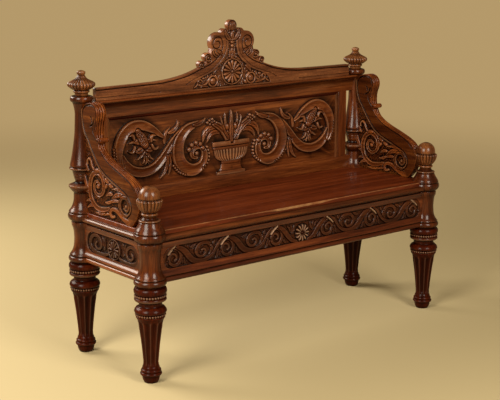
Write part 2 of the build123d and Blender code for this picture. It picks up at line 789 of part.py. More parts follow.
urn_corners = urn_half + [(-x, z) for x, z in reversed(urn_half)]
urn = make_face(Polyline(*[panel_point(x, z) for x, z in urn_corners], close=True))
side_forms = [ribbon(band, panel_point) for band in (ring_band, scroll_band, horn_band)]
side_forms.append(Plane(origin=panel_point(*flower_centre), z_dir=(0, -1, 0)) * Circle(flower_radius))
panel_forms = [urn, ribbon(centre_leaf, panel_point)] + both_sides(side_forms)
carving_height = panel_carving_rise + carving_bite
panel_carving = [extrude(form, amount=carving_height, dir=(0, -1, 0)) for form in panel_forms]
pieces["back_panel"] = span(panel_ends, panel_y, panel_z) + panel_carving

# Bevelled moulding in front of the panel, mitred at the upper corners
moulding_front = panel_face - panel_moulding_depth
lip = panel_moulding_width / 3
side_section = [(stile_inner, panel_face), (stile_inner - panel_moulding_width, panel_face),
                (stile_inner - panel_moulding_width, panel_face - lip / 2),
                (stile_inner - lip, moulding_front), (stile_inner, moulding_front)]
outline = make_face(Polyline(*[(x, y, bottom_rail_top) for x, y in side_section], close=True))
side_strip = extrude(outline, amount=top_rail_base - bottom_rail_top, dir=(0, 0, 1))
top_section = [(y, top_rail_base - (stile_inner - x)) for x, y in side_section]
top_strip = prism_along_x(top_section, -stile_inner, stile_inner)
mitre_z = (top_rail_base - panel_moulding_width, top_rail_base)
mitre_x = (stile_inner - panel_moulding_width, stile_inner)
mitre_corners = [(mitre_x[1], mitre_z[1]), (mitre_x[0], mitre_z[0]), (mitre_x[1], mitre_z[0])]
mitre = prism_along_y(mitre_corners, moulding_front, panel_face)
waste_corners = [(mitre_x[1], mitre_z[1]), (mitre_x[0], mitre_z[0]), (mitre_x[0], mitre_z[1])]
waste = prism_along_y(waste_corners, moulding_front, panel_face)
pieces["panel_right_moulding"] = side_strip - waste
pieces["panel_top_moulding"] = top_strip - both_sides([mitre])

# Cornice over the back frame
cornice_middle = cornice_top - cornice_lip
cove_low = cornice_base - cornice_cove_drop
cove_rise = cornice_middle - cove_low
cove_reach = cornice_reach - cornice_cove_fillet
cove_shares = [(0.0, 0.0), (0.1, 0.4), (0.3, 0.7), (0.6, 0.9), (1.0, 1.0)]  # of its reach, of its rise
cove_foot = back_face - cornice_cove_fillet
cornice_section = [(back_rear, cornice_base), (back_face, cornice_base), (back_face, cove_low)]
cornice_section += [(cove_foot - cove_reach * out, cove_low + cove_rise * up) for out, up in cove_shares]
cornice_section += [(cornice_face, cornice_top), (back_rear, cornice_top)]
cornice_end = post_x - arm_scroll_thickness / 2 - scribe_clearance
cornice = prism_along_x(cornice_section, -cornice_end, cornice_end) - both_sides([rear_post_space])
pieces["cornice"] = cornice - crest_dowels(joint_clearance)

# Crest board. Its outline is the long sweep of the top edge with round scrolls built up on it.
crest_end = post_x - crest_end_gap
crest_plane = Plane(origin=(0, crest_face, cornice_top), x_dir=(1, 0, 0), z_dir=(0, -1, 0))
sweep_start = (300.0, 44.0)  # where the level end of the top edge turns up
sweep_middle = (211.0, 66.0)
sweep_end = (120.0, 84.0)
crown_shoulder = (80.0, 150.0)
crown_top = (30.0, 196.0)
crest_scrolls = [(140.0, 88.0, 12.0), (105.0, 114.0, 16.0), (57.0, 154.0, 35.0), (32.0, 186.0, 16.0)]
crest_bud = (0.0, 209.5, 19.5)


def crest_half():
    # Right half of the crest's face
    level = Edge.make_line((crest_end, crest_end_rise), sweep_start)
    rise = Edge.make_three_point_arc(sweep_start, sweep_middle, sweep_end)
    corners = [sweep_end, crown_shoulder, crown_top, (0, crown_top[1]), (0, 0), (crest_end, 0),
               (crest_end, crest_end_rise)]
    sides = [Edge.make_line(a, b) for a, b in zip(corners[:-1], corners[1:])]
    face = Face(Wire([level, rise] + sides))
    scrolls = [Pos(x, z) * Circle(radius) for x, z, radius in crest_scrolls]
    return Sketch() + face + scrolls


half = crest_half()
crest_outline = half + mirror(half, about=Plane.YZ) + Pos(*crest_bud[:2]) * Circle(crest_bud[2])
crest = extrude(crest_plane * crest_outline, amount=-crest_thickness)
pieces["crest_board"] = crest - crest_dowels(joint_clearance)

# Arm: outline in (distance behind the front post axis or before the rear one, height over the seat)
arm_front_points = [(75.0, 0.0), (62.0, 12.0), (44.0, 37.0), (35.0, 68.0),
                    (40.0, 95.0), (53.0, 120.0), (83.0, 139.0)]
arm_rear_points = [(230.0, 157.0), (180.0, 174.0), (147.0, 189.0), (122.0, 208.0), (111.0, 226.0)]
arm_neck = (100.0, 262.0)
arm_scroll_front = (113.0, 316.0)
arm_scroll_top = (75.0, 350.0)
arm_scroll_rear = (28.0, 323.0)
arm_scroll_foot = 245.0  # thick part of the scroll, over the seat
arm_roll_centre = (114.0, 237.0)

# Sunk ground of the arm and the bands left on it: (distance before the rear post axis, height over the seat)
ground_top = [(23.0, 310.0), (36.0, 251.0), (73.0, 193.0), (116.0, 147.0),
              (176.0, 118.0), (226.0, 100.0), (266.0, 79.0),
              (277.0, 55.0), (258.0, 30.0)]
ground_foot = [(270.0, 12.0), (258.0, 0.0)]
leaf_spiral = [(162.0, 34.0, 5.0), (104.0, 24.0, 9.0), (60.0, 64.0, 9.5), (72.0, 124.0, 9.0),
               (124.0, 127.0, 8.0),
               (130.0, 82.0, 6.5), (96.0, 70.0, 5.5)]
front_volute = [(258.0, 27.0, 6.0), (226.0, 42.0, 6.5), (232.0, 76.0, 6.0),
                (264.0, 72.0, 5.0), (262.0, 46.0, 4.5)]
front_tail = [(274.0, 11.0, 9.0), (248.0, 14.0, 9.0), (202.0, 35.0, 7.0), (172.0, 24.0, 5.0)]


def front_point(point):
    return Vector(0, point[0] - post_y, seat_height + point[1])


def rear_point(point):
    return Vector(0, post_y - point[0], seat_height + point[1])


slope_points = [front_point(p) for p in arm_front_points] + [rear_point(p) for p in arm_rear_points]
neck = rear_point(arm_neck)
scroll_front = rear_point(arm_scroll_front)
scroll_rear = rear_point(arm_scroll_rear)
rear_top = Vector(0, post_y - arm_rear_gap, scroll_rear.Z)
rear_foot = Vector(0, post_y - arm_rear_gap, seat_height)
arm_edges = [
    Edge.make_spline(slope_points),
    Edge.make_line(slope_points[-1], neck),
    Edge.make_spline([neck, scroll_front], tangents=[Vector(0, 0, 1), Vector(0, 0, 1)]),
    Edge.make_three_point_arc(scroll_front, rear_point(arm_scroll_top), scroll_rear),
    Edge.make_line(scroll_rear, rear_top),
    Edge.make_line(rear_top, rear_foot),
    Edge.make_line(rear_foot, slope_points[0]),
]
arm_face = Face(Wire(arm_edges))
arm = extrude(arm_face, amount=arm_thickness / 2, dir=(1, 0, 0), both=True)
scroll_block = extrude(arm_face, amount=arm_scroll_thickness / 2, dir=(1, 0, 0), both=True)
scroll_z = (seat_height + arm_scroll_foot, cornice_top + crest_end_rise)
arm += scroll_block & span((-post_x, post_x), (-post_y, post_y), scroll_z)
roll_length = arm_scroll_thickness + 2 * arm_roll_overhang
roll_start = rear_point(arm_roll_centre) - Vector(roll_length / 2, 0, 0)
arm += rod(arm_roll_radius, roll_start, (1, 0, 0), roll_length)


def arm_point(before_post, height):
    return rear_point((before_post, height)) + Vector(arm_thickness / 2 - arm_ground_depth, 0, 0)


ground_corners = [arm_point(*ground_top[-1])] + [arm_point(*point) for point in ground_foot]
ground_corners += [arm_point(arm_rear_gap, 0.0), arm_point(arm_rear_gap, ground_top[0][1])]
ground_corners.append(arm_point(*ground_top[0]))
ground_sides = [Edge.make_line(a, b) for a, b in zip(ground_corners[:-1], ground_corners[1:])]
ground_face = Face(Wire([Edge.make_spline([arm_point(*point) for point in ground_top])] + ground_sides))
ground = extrude(ground_face, amount=arm_scroll_thickness, dir=(1, 0, 0))
for band in (leaf_spiral, front_volute, front_tail):
    ground -= extrude(ribbon(band, arm_point), amount=arm_scroll_thickness, dir=(1, 0, 0))
arm -= [ground, flip(ground)]
arm = Pos(post_x, 0, 0) * arm - [front_post_space, rear_post_space, acorn_space]
pieces["right_arm"] = arm - arm_dowels(joint_clearance)

# Dowels, one node for each place of use
pieces["arm_dowels"] = Compound(children=both_sides(arm_dowels()))
pieces["crest_dowels"] = Compound(children=crest_dowels())
pieces["back_dowels"] = Compound(children=back_dowels())

# Left-hand pieces are mirror images of the right-hand ones
for name in list(pieces):
    if "right" in name:
        pieces[name.replace("right", "left")] = flip(pieces[name])

os.makedirs("parts", exist_ok=True)
for name, shape in pieces.items():
    export_step(shape, "parts/" + name + ".step")
print(len(pieces), "pieces written")
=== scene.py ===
import bpy
import math
import numpy as np
from mathutils import Matrix, Vector


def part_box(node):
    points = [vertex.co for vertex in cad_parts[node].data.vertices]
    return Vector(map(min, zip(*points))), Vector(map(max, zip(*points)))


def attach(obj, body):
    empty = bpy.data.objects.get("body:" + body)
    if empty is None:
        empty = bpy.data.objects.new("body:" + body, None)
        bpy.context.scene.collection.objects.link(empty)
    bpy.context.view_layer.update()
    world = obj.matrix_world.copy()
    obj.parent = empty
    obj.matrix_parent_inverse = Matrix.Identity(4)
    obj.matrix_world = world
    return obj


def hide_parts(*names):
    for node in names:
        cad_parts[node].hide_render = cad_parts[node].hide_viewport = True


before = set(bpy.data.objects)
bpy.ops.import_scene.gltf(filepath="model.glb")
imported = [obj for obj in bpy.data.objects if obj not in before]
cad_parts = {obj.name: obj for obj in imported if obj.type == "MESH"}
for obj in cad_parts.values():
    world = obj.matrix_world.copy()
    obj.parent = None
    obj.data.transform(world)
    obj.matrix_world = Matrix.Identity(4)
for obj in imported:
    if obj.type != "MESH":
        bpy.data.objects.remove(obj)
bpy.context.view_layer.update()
bpy.ops.object.select_all(action="DESELECT")
print("stage: frame loaded")

# All shape values below are in millimetres.
mm = 0.001
postPlaces = {
    "front_left": (-590, -180),
    "front_right": (590, -180),
    "rear_left": (-590, 180),
    "rear_right": (590, 180),
}
fineness = {
    "carvingStep": 1.0,
    "turnSteps": 160,
    "triangleLimit": 190000,
}


def chooseOnly(piece):
    bpy.ops.object.select_all(action="DESELECT")
    piece.select_set(True)
    bpy.context.view_layer.objects.active = piece


def readPoints(piece):
    flat = np.zeros(len(piece.data.vertices) * 3, np.float32)
    piece.data.vertices.foreach_get("co", flat)
    return flat.reshape(-1, 3).astype(float)


def writePoints(piece, points):
    piece.data.vertices.foreach_set("co", np.asarray(points, np.float32).ravel())
    piece.data.update()


def writeMask(piece, name, values):
    mask = piece.data.attributes.get(name) or piece.data.attributes.new(name, "FLOAT", "POINT")
    mask.data.foreach_set("value", np.clip(values, 0, 1).astype(np.float32))


def readMask(piece, name):
    mask = np.zeros(len(piece.data.vertices), np.float32)
    piece.data.attributes[name].data.foreach_get("value", mask)
    return mask


def editAll():
    bpy.ops.object.mode_set(mode="EDIT")
    bpy.ops.mesh.select_all(action="SELECT")


def closeEdit():
    # all faces turned outwards
    bpy.ops.mesh.select_all(action="SELECT")
    bpy.ops.mesh.normals_make_consistent(inside=False)
    bpy.ops.object.mode_set(mode="OBJECT")


def joinTo(piece, extra):
    bpy.ops.object.select_all(action="DESELECT")
    extra.select_set(True)
    piece.select_set(True)
    bpy.context.view_layer.objects.active = piece
    bpy.ops.object.join()


def finishPiece(piece, name, nodes, material):
    piece.name = name
    piece.data.name = name
    piece.data.materials.clear()
    piece.data.materials.append(material)
    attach(piece, "root")
    if nodes:
        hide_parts(*nodes)


def mirrorCopy(piece):
    chooseOnly(piece)
    bpy.ops.object.duplicate()
    twin = bpy.context.view_layer.objects.active
    editAll()
    bpy.ops.transform.mirror(constraint_axis=(True, False, False), center_override=(0, 0, 0))
    bpy.ops.mesh.flip_normals()
    bpy.ops.object.mode_set(mode="OBJECT")
    return twin


def movedCopy(piece, shift):
    chooseOnly(piece)
    bpy.ops.object.duplicate()
    twin = bpy.context.view_layer.objects.active
    bpy.ops.transform.translate(value=shift)
    bpy.ops.object.transform_apply(location=True, rotation=False, scale=False)
    return twin


# Wood: grain, colour and polish
def addNode(tree, kind, place, **values):
    node = tree.nodes.new(kind)
    node.location = place
    for key, value in values.items():
        if hasattr(node, key):
            setattr(node, key, value)
        else:
            node.inputs[key].default_value = value
    return node


def addRange(tree, place, low, high, toLow=0.0, toHigh=1.0, **values):
    node = addNode(tree, "ShaderNodeMapRange", place, **values)
    for entry, value in enumerate((low, high, toLow, toHigh), 1):
        node.inputs[entry].default_value = value
    return node


def linkAll(tree, rows):
    # rows: a node, its output, the next node, its input
    for source, output, target, entry in rows:
        tree.links.new(source.outputs[output], target.inputs[entry])


grainValues = {
    "stretch": {"x": (9, 150, 150), "y": (150, 9, 150), "z": (150, 150, 9)},
    "broad": {"Scale": 0.22, "Detail": 3.0, "Distortion": 0.8},
    "fibre": {"Scale": 1.6, "Detail": 5.0, "Distortion": 0.3},
    "fibreShare": 0.42,
    "speck": {"Scale": 7.0, "Detail": 1.0},
    "poreFrom": 0.62,
    "poreTo": 0.74,
    "poreShare": 0.45,
    "poreRelief": {"Strength": 0.10, "Distance": 0.0004},
    "smear": {"Scale": 0.09, "Detail": 2.0},
    "smearFrom": 0.3,
    "smearTo": 0.7,
    "smoother": 0.06,
    "rougher": 0.10,
    "darkAt": 0.30,
    "middleAt": 0.5,
    "lightAt": 0.72,
    "shadeAndGrimeCoat": 0.1,
}


def makeFigureGroup(values):
    group = bpy.data.node_groups.new("woodFigure", "ShaderNodeTree")
    group.interface.new_socket("Vector", in_out="INPUT", socket_type="NodeSocketVector")
    for name in ("Figure", "Pores", "Smears"):
        group.interface.new_socket(name, in_out="OUTPUT", socket_type="NodeSocketFloat")
    source = addNode(group, "NodeGroupInput", (-900, 0))
    sink = addNode(group, "NodeGroupOutput", (500, 0))
    broad = addNode(group, "ShaderNodeTexNoise", (-600, 260), **values["broad"])
    fibre = addNode(group, "ShaderNodeTexNoise", (-600, 20), **values["fibre"])
    both = addNode(group, "ShaderNodeMix", (-300, 160), data_type="FLOAT")
    both.inputs[0].default_value = values["fibreShare"]
    speck = addNode(group, "ShaderNodeTexNoise", (-600, -220), **values["speck"])
    pores = addRange(group, (-300, -200), values["poreFrom"], values["poreTo"])
    smear = addNode(group, "ShaderNodeTexNoise", (-600, -460), **values["smear"])
    linkAll(group, [(source, 0, noise, "Vector") for noise in (broad, fibre, speck, smear)])
    linkAll(group, [(broad, 0, both, 2), (fibre, 0, both, 3), (both, 0, sink, 0)])
    linkAll(group, [(speck, 0, pores, 0), (pores, 0, sink, 1), (smear, 0, sink, 2)])
    return group


figureGroup = makeFigureGroup(grainValues)
# Per tone: the grain colours; the colour of painted shade in hollows, with old grime there; the colour of
# wear and painted highlights on raised parts; then roughness, sheen and coat
woodTones = {
    "polished": {
        "dark": (0.020, 0.0038, 0.0010),
        "middle": (0.100, 0.0225, 0.0048),
        "light": (0.240, 0.068, 0.0145),
        "shadeAndGrime": (0.0050, 0.0011, 0.0005),
        "wearAndHighlight": (0.35, 0.185, 0.092),
        "roughness": 0.36,
        "sheen": 0.10,
        "coat": 0.50,
        "coatRoughness": 0.18,
    },
    "seat": {
        "dark": (0.026, 0.0040, 0.0011),
        "middle": (0.098, 0.0155, 0.0036),
        "light": (0.205, 0.042, 0.0100),
        "shadeAndGrime": (0.014, 0.003, 0.0015),
        "wearAndHighlight": (0.40, 0.21, 0.085),
        "roughness": 0.36,
        "sheen": 0.10,
        "coat": 0.2,
        "coatRoughness": 0.16,
    },
    # darker than the post tone: painted shade on the legs under the seat
    "leg": {
        "dark": (0.010, 0.0015, 0.0004),
        "middle": (0.034, 0.0040, 0.0008),
        "light": (0.084, 0.0124, 0.0022),
        "shadeAndGrime": (0.0022, 0.0005, 0.0002),
        "wearAndHighlight": (0.34, 0.20, 0.115),
        "roughness": 0.36,
        "sheen": 0.02,
        "coat": 0.17,
        "coatRoughness": 0.20,
    },
    "post": {
        "dark": (0.010, 0.0019, 0.0006),
        "middle": (0.048, 0.0088, 0.0016),
        "light": (0.136, 0.033, 0.0060),
        "shadeAndGrime": (0.0022, 0.0005, 0.0002),
        "wearAndHighlight": (0.34, 0.18, 0.090),
        "roughness": 0.34,
        "sheen": 0.03,
        "coat": 0.48,
        "coatRoughness": 0.20,
    },
    "arm": {
        "dark": (0.020, 0.0038, 0.0010),
        "middle": (0.118, 0.0262, 0.0046),
        "light": (0.275, 0.078, 0.0135),
        "shadeAndGrime": (0.0046, 0.0010, 0.0004),
        "wearAndHighlight": (0.34, 0.18, 0.085),
        "roughness": 0.36,
        "sheen": 0.06,
        "coat": 0.22,
        "coatRoughness": 0.18,
    },
    "finial": {
        "dark": (0.024, 0.0052, 0.0015),
        "middle": (0.105, 0.0310, 0.0080),
        "light": (0.235, 0.082, 0.0220),
        "shadeAndGrime": (0.0060, 0.0011, 0.0004),
        "wearAndHighlight": (0.40, 0.24, 0.130),
        "roughness": 0.34,
        "sheen": 0.06,
        "coat": 0.50,
        "coatRoughness": 0.22,
    },
    "rail": {
        "dark": (0.014, 0.0026, 0.0008),
        "middle": (0.066, 0.0135, 0.0036),
        "light": (0.160, 0.040, 0.0100),
        "shadeAndGrime": (0.0050, 0.0011, 0.0005),
        "wearAndHighlight": (0.36, 0.22, 0.135),
        "roughness": 0.36,
        "sheen": 0.08,
        "coat": 0.26,
        "coatRoughness": 0.18,
    },
    # lighter and paler than the polished tone: painted sheen of the light the crest reflects
    "crest": {
        "dark": (0.026, 0.0060, 0.0019),
        "middle": (0.128, 0.0370, 0.0115),
        "light": (0.285, 0.100, 0.0330),
        "shadeAndGrime": (0.0050, 0.0011, 0.0005),
        "wearAndHighlight": (0.36, 0.20, 0.105),
        "roughness": 0.36,
        "sheen": 0.10,
        "coat": 0.50,
        "coatRoughness": 0.18,
    },
    "frame": {
        "dark": (0.11, 0.050, 0.022),
        "middle": (0.19, 0.095, 0.042),
        "light": (0.27, 0.145, 0.066),
        "shadeAndGrime": (0.05, 0.022, 0.01),
        "wearAndHighlight": (0.30, 0.17, 0.08),
        "roughness": 0.62,
        "sheen": 0.3,
        "coat": 0.0,
        "coatRoughness": 0.3,
    },
}


def makeWood(name, toneName, along, values=grainValues):
    tone = woodTones[toneName]
    material = bpy.data.materials.new(name)
    material.use_nodes = True
    tree = material.node_tree
    tree.nodes.clear()
    place = addNode(tree, "ShaderNodeTexCoord", (-1500, 0))
    stretch = addNode(tree, "ShaderNodeMapping", (-1300, 0), Scale=values["stretch"][along])
    figure = addNode(tree, "ShaderNodeGroup", (-1080, 0), node_tree=figureGroup)
    colours = addNode(tree, "ShaderNodeValToRGB", (-860, 120))
    ramp = colours.color_ramp
    ramp.elements[0].position = values["darkAt"]
    ramp.elements[0].color = (*tone["dark"], 1)
    ramp.elements[1].position = values["lightAt"]
    ramp.elements[1].color = (*tone["light"], 1)
    ramp.elements.new(values["middleAt"]).color = (*tone["middle"], 1)
    poreMix = addNode(tree, "ShaderNodeMix", (-560, 120), data_type="RGBA")
    poreMix.inputs[7].default_value = (*tone["dark"], 1)
    poreShare = addNode(tree, "ShaderNodeMath", (-760, -120), operation="MULTIPLY")
    poreShare.inputs[1].default_value = values["poreShare"]
    # The first mask paints shade, with some grime, into hollows and takes most of the coat off there; the
    # second paints wear and highlights lighter on raised parts
    shadeAndGrime = addNode(tree, "ShaderNodeAttribute", (-760, -300), attribute_name="shadeAndGrime")
    shadeAndGrimeMix = addNode(tree, "ShaderNodeMix", (-360, 120), data_type="RGBA")
    shadeAndGrimeMix.inputs[7].default_value = (*tone["shadeAndGrime"], 1)
    wearAndHighlight = addNode(tree, "ShaderNodeAttribute", (-560, -300), attribute_name="wearAndHighlight")
    wearAndHighlightMix = addNode(tree, "ShaderNodeMix", (-160, 120), data_type="RGBA", label="wearAndHighlight")
    wearAndHighlightMix.inputs[7].default_value = (*tone["wearAndHighlight"], 1)
    roughLow, roughHigh = tone["roughness"] - values["smoother"], tone["roughness"] + values["rougher"]
    rough = addRange(tree, (-360, -160), values["smearFrom"], values["smearTo"], roughLow, roughHigh)
    bump = addNode(tree, "ShaderNodeBump", (-160, -420), invert=True, **values["poreRelief"])
    shader = addNode(tree, "ShaderNodeBsdfPrincipled", (120, 100))
    polish = addRange(tree, (-360, -420), 0, 1, tone["coat"], tone["coat"] * values["shadeAndGrimeCoat"])
    shader.inputs["Coat Roughness"].default_value = tone["coatRoughness"]
    shader.inputs["Specular IOR Level"].default_value = tone["sheen"]
    sink = addNode(tree, "ShaderNodeOutputMaterial", (420, 100))
    linkAll(tree, [
        (place, "Object", stretch, "Vector"), (stretch, 0, figure, 0), (figure, "Figure", colours, 0),
    ])
    linkAll(tree, [(figure, "Pores", poreShare, 0), (poreShare, 0, poreMix, 0), (colours, 0, poreMix, 6)])
    linkAll(tree, [(poreMix, 2, shadeAndGrimeMix, 6), (shadeAndGrime, "Fac", shadeAndGrimeMix, 0), (shadeAndGrime, "Fac", polish, 0)])
    linkAll(tree, [(shadeAndGrimeMix, 2, wearAndHighlightMix, 6), (wearAndHighlight, "Fac", wearAndHighlightMix, 0), (wearAndHighlightMix, 2, shader, "Base Color")])
    linkAll(tree, [(polish, 0, shader, "Coat Weight"), (figure, "Smears", rough, 0)])
    linkAll(tree, [(rough, 0, shader, "Roughness"), (figure, "Pores", bump, "Height")])
    linkAll(tree, [(bump, 0, shader, "Normal"), (shader, 0, sink, 0)])
    return material


# Polish rubbed off along the seat's front edge: a wide patch in the middle, a thin line elsewhere. In metres.
seatWearValues = {
    "middle": -0.01,
    "halfLength": 0.15,
    "fullShare": 0.6,
    "elsewhere": 0.6,
    "front": -0.1942,
    "depth": 0.0050,
    "patchLow": 0.4530,
    "lineLow": 0.4578,
    "strength": 0.62,
    "weakShare": 0.4,
    "patches": {"Scale": 26.0, "Detail": 4.0},
    "patchFrom": 0.36,
    "patchTo": 0.60,
}


def addEdgeWear(material, values):
    tree = material.node_tree
    place = addNode(tree, "ShaderNodeTexCoord", (-1500, -700))
    parts = addNode(tree, "ShaderNodeSeparateXYZ", (-1300, -700))
    fromMiddle = addNode(tree, "ShaderNodeMath", (-1100, -600), operation="SUBTRACT")
    fromMiddle.inputs[1].default_value = values["middle"]
    away = addNode(tree, "ShaderNodeMath", (-900, -600), operation="ABSOLUTE")
    far, full = values["halfLength"], values["halfLength"] * values["fullShare"]
    smooth = {"interpolation_type": "SMOOTHSTEP"}
    along = addRange(tree, (-700, -600), far, full, values["elsewhere"], **smooth)
    near = addRange(tree, (-900, -900), values["front"] + values["depth"], values["front"], **smooth)
    patches = addNode(tree, "ShaderNodeTexNoise", (-900, -1150), **values["patches"])
    weak = values["strength"] * values["weakShare"]
    torn = addRange(tree, (-700, -1150), values["patchFrom"], values["patchTo"], weak, values["strength"])
    lowest = addRange(tree, (-700, -850), full, far, values["patchLow"], values["lineLow"])
    above = addNode(tree, "ShaderNodeMath", (-500, -850), operation="GREATER_THAN")
    both = addNode(tree, "ShaderNodeMath", (-500, -700), operation="MULTIPLY")
    kept = addNode(tree, "ShaderNodeMath", (-400, -780), operation="MULTIPLY")
    share = addNode(tree, "ShaderNodeMath", (-320, -700), operation="MULTIPLY")
    wearAndHighlightMix = next(node for node in tree.nodes if node.label == "wearAndHighlight")
    linkAll(tree, [(place, "Object", parts, 0), (place, "Object", patches, "Vector")])
    linkAll(tree, [(parts, 0, fromMiddle, 0), (fromMiddle, 0, away, 0), (away, 0, along, 0)])
    linkAll(tree, [(parts, 1, near, 0), (patches, 0, torn, 0), (along, 0, both, 0), (near, 0, both, 1)])
    linkAll(tree, [(away, 0, lowest, 0), (parts, 2, above, 0), (lowest, 0, above, 1)])
    linkAll(tree, [(both, 0, kept, 0), (above, 0, kept, 1), (kept, 0, share, 0), (torn, 0, share, 1)])
    linkAll(tree, [(share, 0, wearAndHighlightMix, 0)])


woodAcross = makeWood("polishedWoodAcross", "polished", "x")
woodDeep = makeWood("polishedWoodDeep", "polished", "y")
woodUpright = makeWood("polishedWoodUpright", "polished", "z")
seatWood = makeWood("polishedSeatWood", "seat", "x")
addEdgeWear(seatWood, seatWearValues)
legWood = makeWood("legWoodPaintedShade", "leg", "z")
postWood = makeWood("polishedPostWood", "post", "z")
# dark leg wood, used as painted shadow on the panel's top moulding
shadowWoodAcross = makeWood("paintedShadowWoodAcross", "leg", "x")
armWood = makeWood("polishedArmWood", "arm", "y")
finialWood = makeWood("polishedFinialWood", "finial", "z")
frontRailWood = makeWood("polishedFrontRailWood", "rail", "x")
sideRailWood = makeWood("polishedSideRailWood", "rail", "y")
crestWood = makeWood("crestWoodPaintedSheen", "crest", "x")
rawWoodAcross = makeWood("frameWoodAcross", "frame", "x")
rawWoodDeep = makeWood("frameWoodDeep", "frame", "y")
rawWoodUpright = makeWood("frameWoodUpright", "frame", "z")

steelValues = {
    "dark": (0.16, 0.12, 0.10),
    "light": (0.42, 0.40, 0.38),
    "roughness": (0.30, 0.55),
    "stainScale": 300.0,
}


def makeScrewSteel(values):
    material = bpy.data.materials.new("screwSteel")
    material.use_nodes = True
    tree = material.node_tree
    shader = tree.nodes["Principled BSDF"]
    shader.inputs["Metallic"].default_value = 1.0
    place = addNode(tree, "ShaderNodeTexCoord", (-900, 0))
    stain = addNode(tree, "ShaderNodeTexNoise", (-700, 0), Scale=values["stainScale"], Detail=3.0)
    colours = addNode(tree, "ShaderNodeValToRGB", (-450, 80))
    colours.color_ramp.elements[0].color = (*values["dark"], 1)
    colours.color_ramp.elements[1].color = (*values["light"], 1)
    rough = addRange(tree, (-450, -220), 0, 1, *values["roughness"])
    linkAll(tree, [(place, "Object", stain, "Vector"), (stain, 0, colours, 0), (stain, 0, rough, 0)])
    linkAll(tree, [(colours, 0, shader, "Base Color"), (rough, 0, shader, "Roughness")])
    return material


screwSteel = makeScrewSteel(steelValues)
print("stage: materials made")


# Turned pieces: a profile of straight and curved members is spun, then fluted, lobed and beaded
def straightPoints(start, end, spacing, fewest):
    count = max(fewest, int(math.dist(start, end) / spacing))
    (ax, ay), (bx, by) = start, end
    return [(ax + (bx - ax) * i / count, ay + (by - ay) * i / count) for i in range(1, count + 1)]


def arcPoints(start, middle, end, spacing):
    (ax, ay), (bx, by), (cx, cy) = start, middle, end
    d = 2 * (ax * (by - cy) + bx * (cy - ay) + cx * (ay - by))
    if abs(d) < 1e-6:
        return straightPoints(start, end, spacing, 2)
    a2, b2, c2 = ax * ax + ay * ay, bx * bx + by * by, cx * cx + cy * cy
    ox = (a2 * (by - cy) + b2 * (cy - ay) + c2 * (ay - by)) / d
    oy = (a2 * (cx - bx) + b2 * (ax - cx) + c2 * (bx - ax)) / d
    radius = math.dist((ox, oy), start)
    first = math.atan2(ay - oy, ax - ox)
    mid = math.atan2(by - oy, bx - ox) - first
    last = math.atan2(cy - oy, cx - ox) - first
    if d > 0:
        mid, last = mid % math.tau, last % math.tau
    else:
        mid, last = -((-mid) % math.tau), -((-last) % math.tau)
    count = max(3, int(abs(last) * radius / spacing))
    return [
        (ox + radius * math.cos(first + last * i / count), oy + radius * math.sin(first + last * i / count))
        for i in range(1, count + 1)
    ]


profileValues = {"spacing": 0.4, "easeTaps": 8, "closest": 0.25, "farthest": 5.0, "turn": math.radians(9)}


def turnedProfile(base, radius, members, ease, values=profileValues):
    # members: (rise, radius) is straight, (rise, radius, radius halfway) is curved, (rise,) closes as a dome
    spacing = values["spacing"]
    reach = values["easeTaps"]
    points = [(radius, base)]
    for member in members:
        r, z = points[-1]
        top = z + member[0]
        if len(member) == 1:
            sphere = (r * r + member[0] ** 2) / (2 * member[0])
            turn = math.asin(min(1, r / sphere)) / 2
            halfway = (sphere * math.sin(turn), top - sphere + sphere * math.cos(turn))
            points += arcPoints((r, z), halfway, (0, top), spacing)
        elif len(member) == 2:
            points += straightPoints((r, z), (member[1], top), spacing, 1)
        else:
            points += arcPoints((r, z), (member[2], z + member[0] / 2), (member[1], top), spacing)
    line = np.array(points)
    # easing rounds the corners between members
    taps = np.exp(-0.5 * (np.arange(-reach, reach + 1) * spacing / ease) ** 2)
    taps /= taps.sum()
    padded = np.vstack([np.repeat(line[:1], reach, 0), line, np.repeat(line[-1:], reach, 0)])
    eased = np.stack([np.convolve(padded[:, k], taps, "valid") for k in (0, 1)], 1)
    eased[0], eased[-1] = line[0], line[-1]
    kept = [0]
    heading = None
    for i in range(1, len(eased) - 1):
        step = eased[i] - eased[kept[-1]]
        ahead = eased[i + 1] - eased[i]
        bend = math.atan2(ahead[1], ahead[0])
        heading = math.atan2(step[1], step[0]) if heading is None else heading
        turned = abs((bend - heading + math.pi) % math.tau - math.pi)
        far = math.hypot(*step)
        if far > values["closest"] and (turned > values["turn"] or far > values["farthest"]):
            kept.append(i)
            heading = bend
    kept.append(len(eased) - 1)
    return eased[kept]


def spinProfile(profile, steps):
    line = [(0.0, profile[0][1])] + [tuple(p) for p in profile]
    if line[-1][0] > 1e-6:
        line.append((0.0, line[-1][1]))
    bpy.ops.mesh.primitive_circle_add(vertices=len(line), radius=0.1, location=(0, 0, 0))
    piece = bpy.context.view_layer.objects.active
    writePoints(piece, [(r * mm, 0, z * mm) for r, z in line])
    bpy.ops.object.mode_set(mode="EDIT")
    bpy.ops.mesh.select_mode(type="EDGE")
    bpy.ops.mesh.select_all(action="DESELECT")
    bpy.ops.object.mode_set(mode="OBJECT")
    ends = {0, len(line) - 1}
    for edge in piece.data.edges:
        edge.select = set(edge.vertices) == ends
    bpy.ops.object.mode_set(mode="EDIT")
    bpy.ops.mesh.delete(type="EDGE")
    bpy.ops.mesh.select_all(action="SELECT")
    bpy.ops.mesh.spin(steps=steps, angle=math.tau, center=(0, 0, 0), axis=(0, 0, 1))
    bpy.ops.mesh.select_all(action="SELECT")
    bpy.ops.mesh.remove_doubles(threshold=0.00001)
    closeEdit()
    bpy.ops.object.shade_smooth()
    return piece


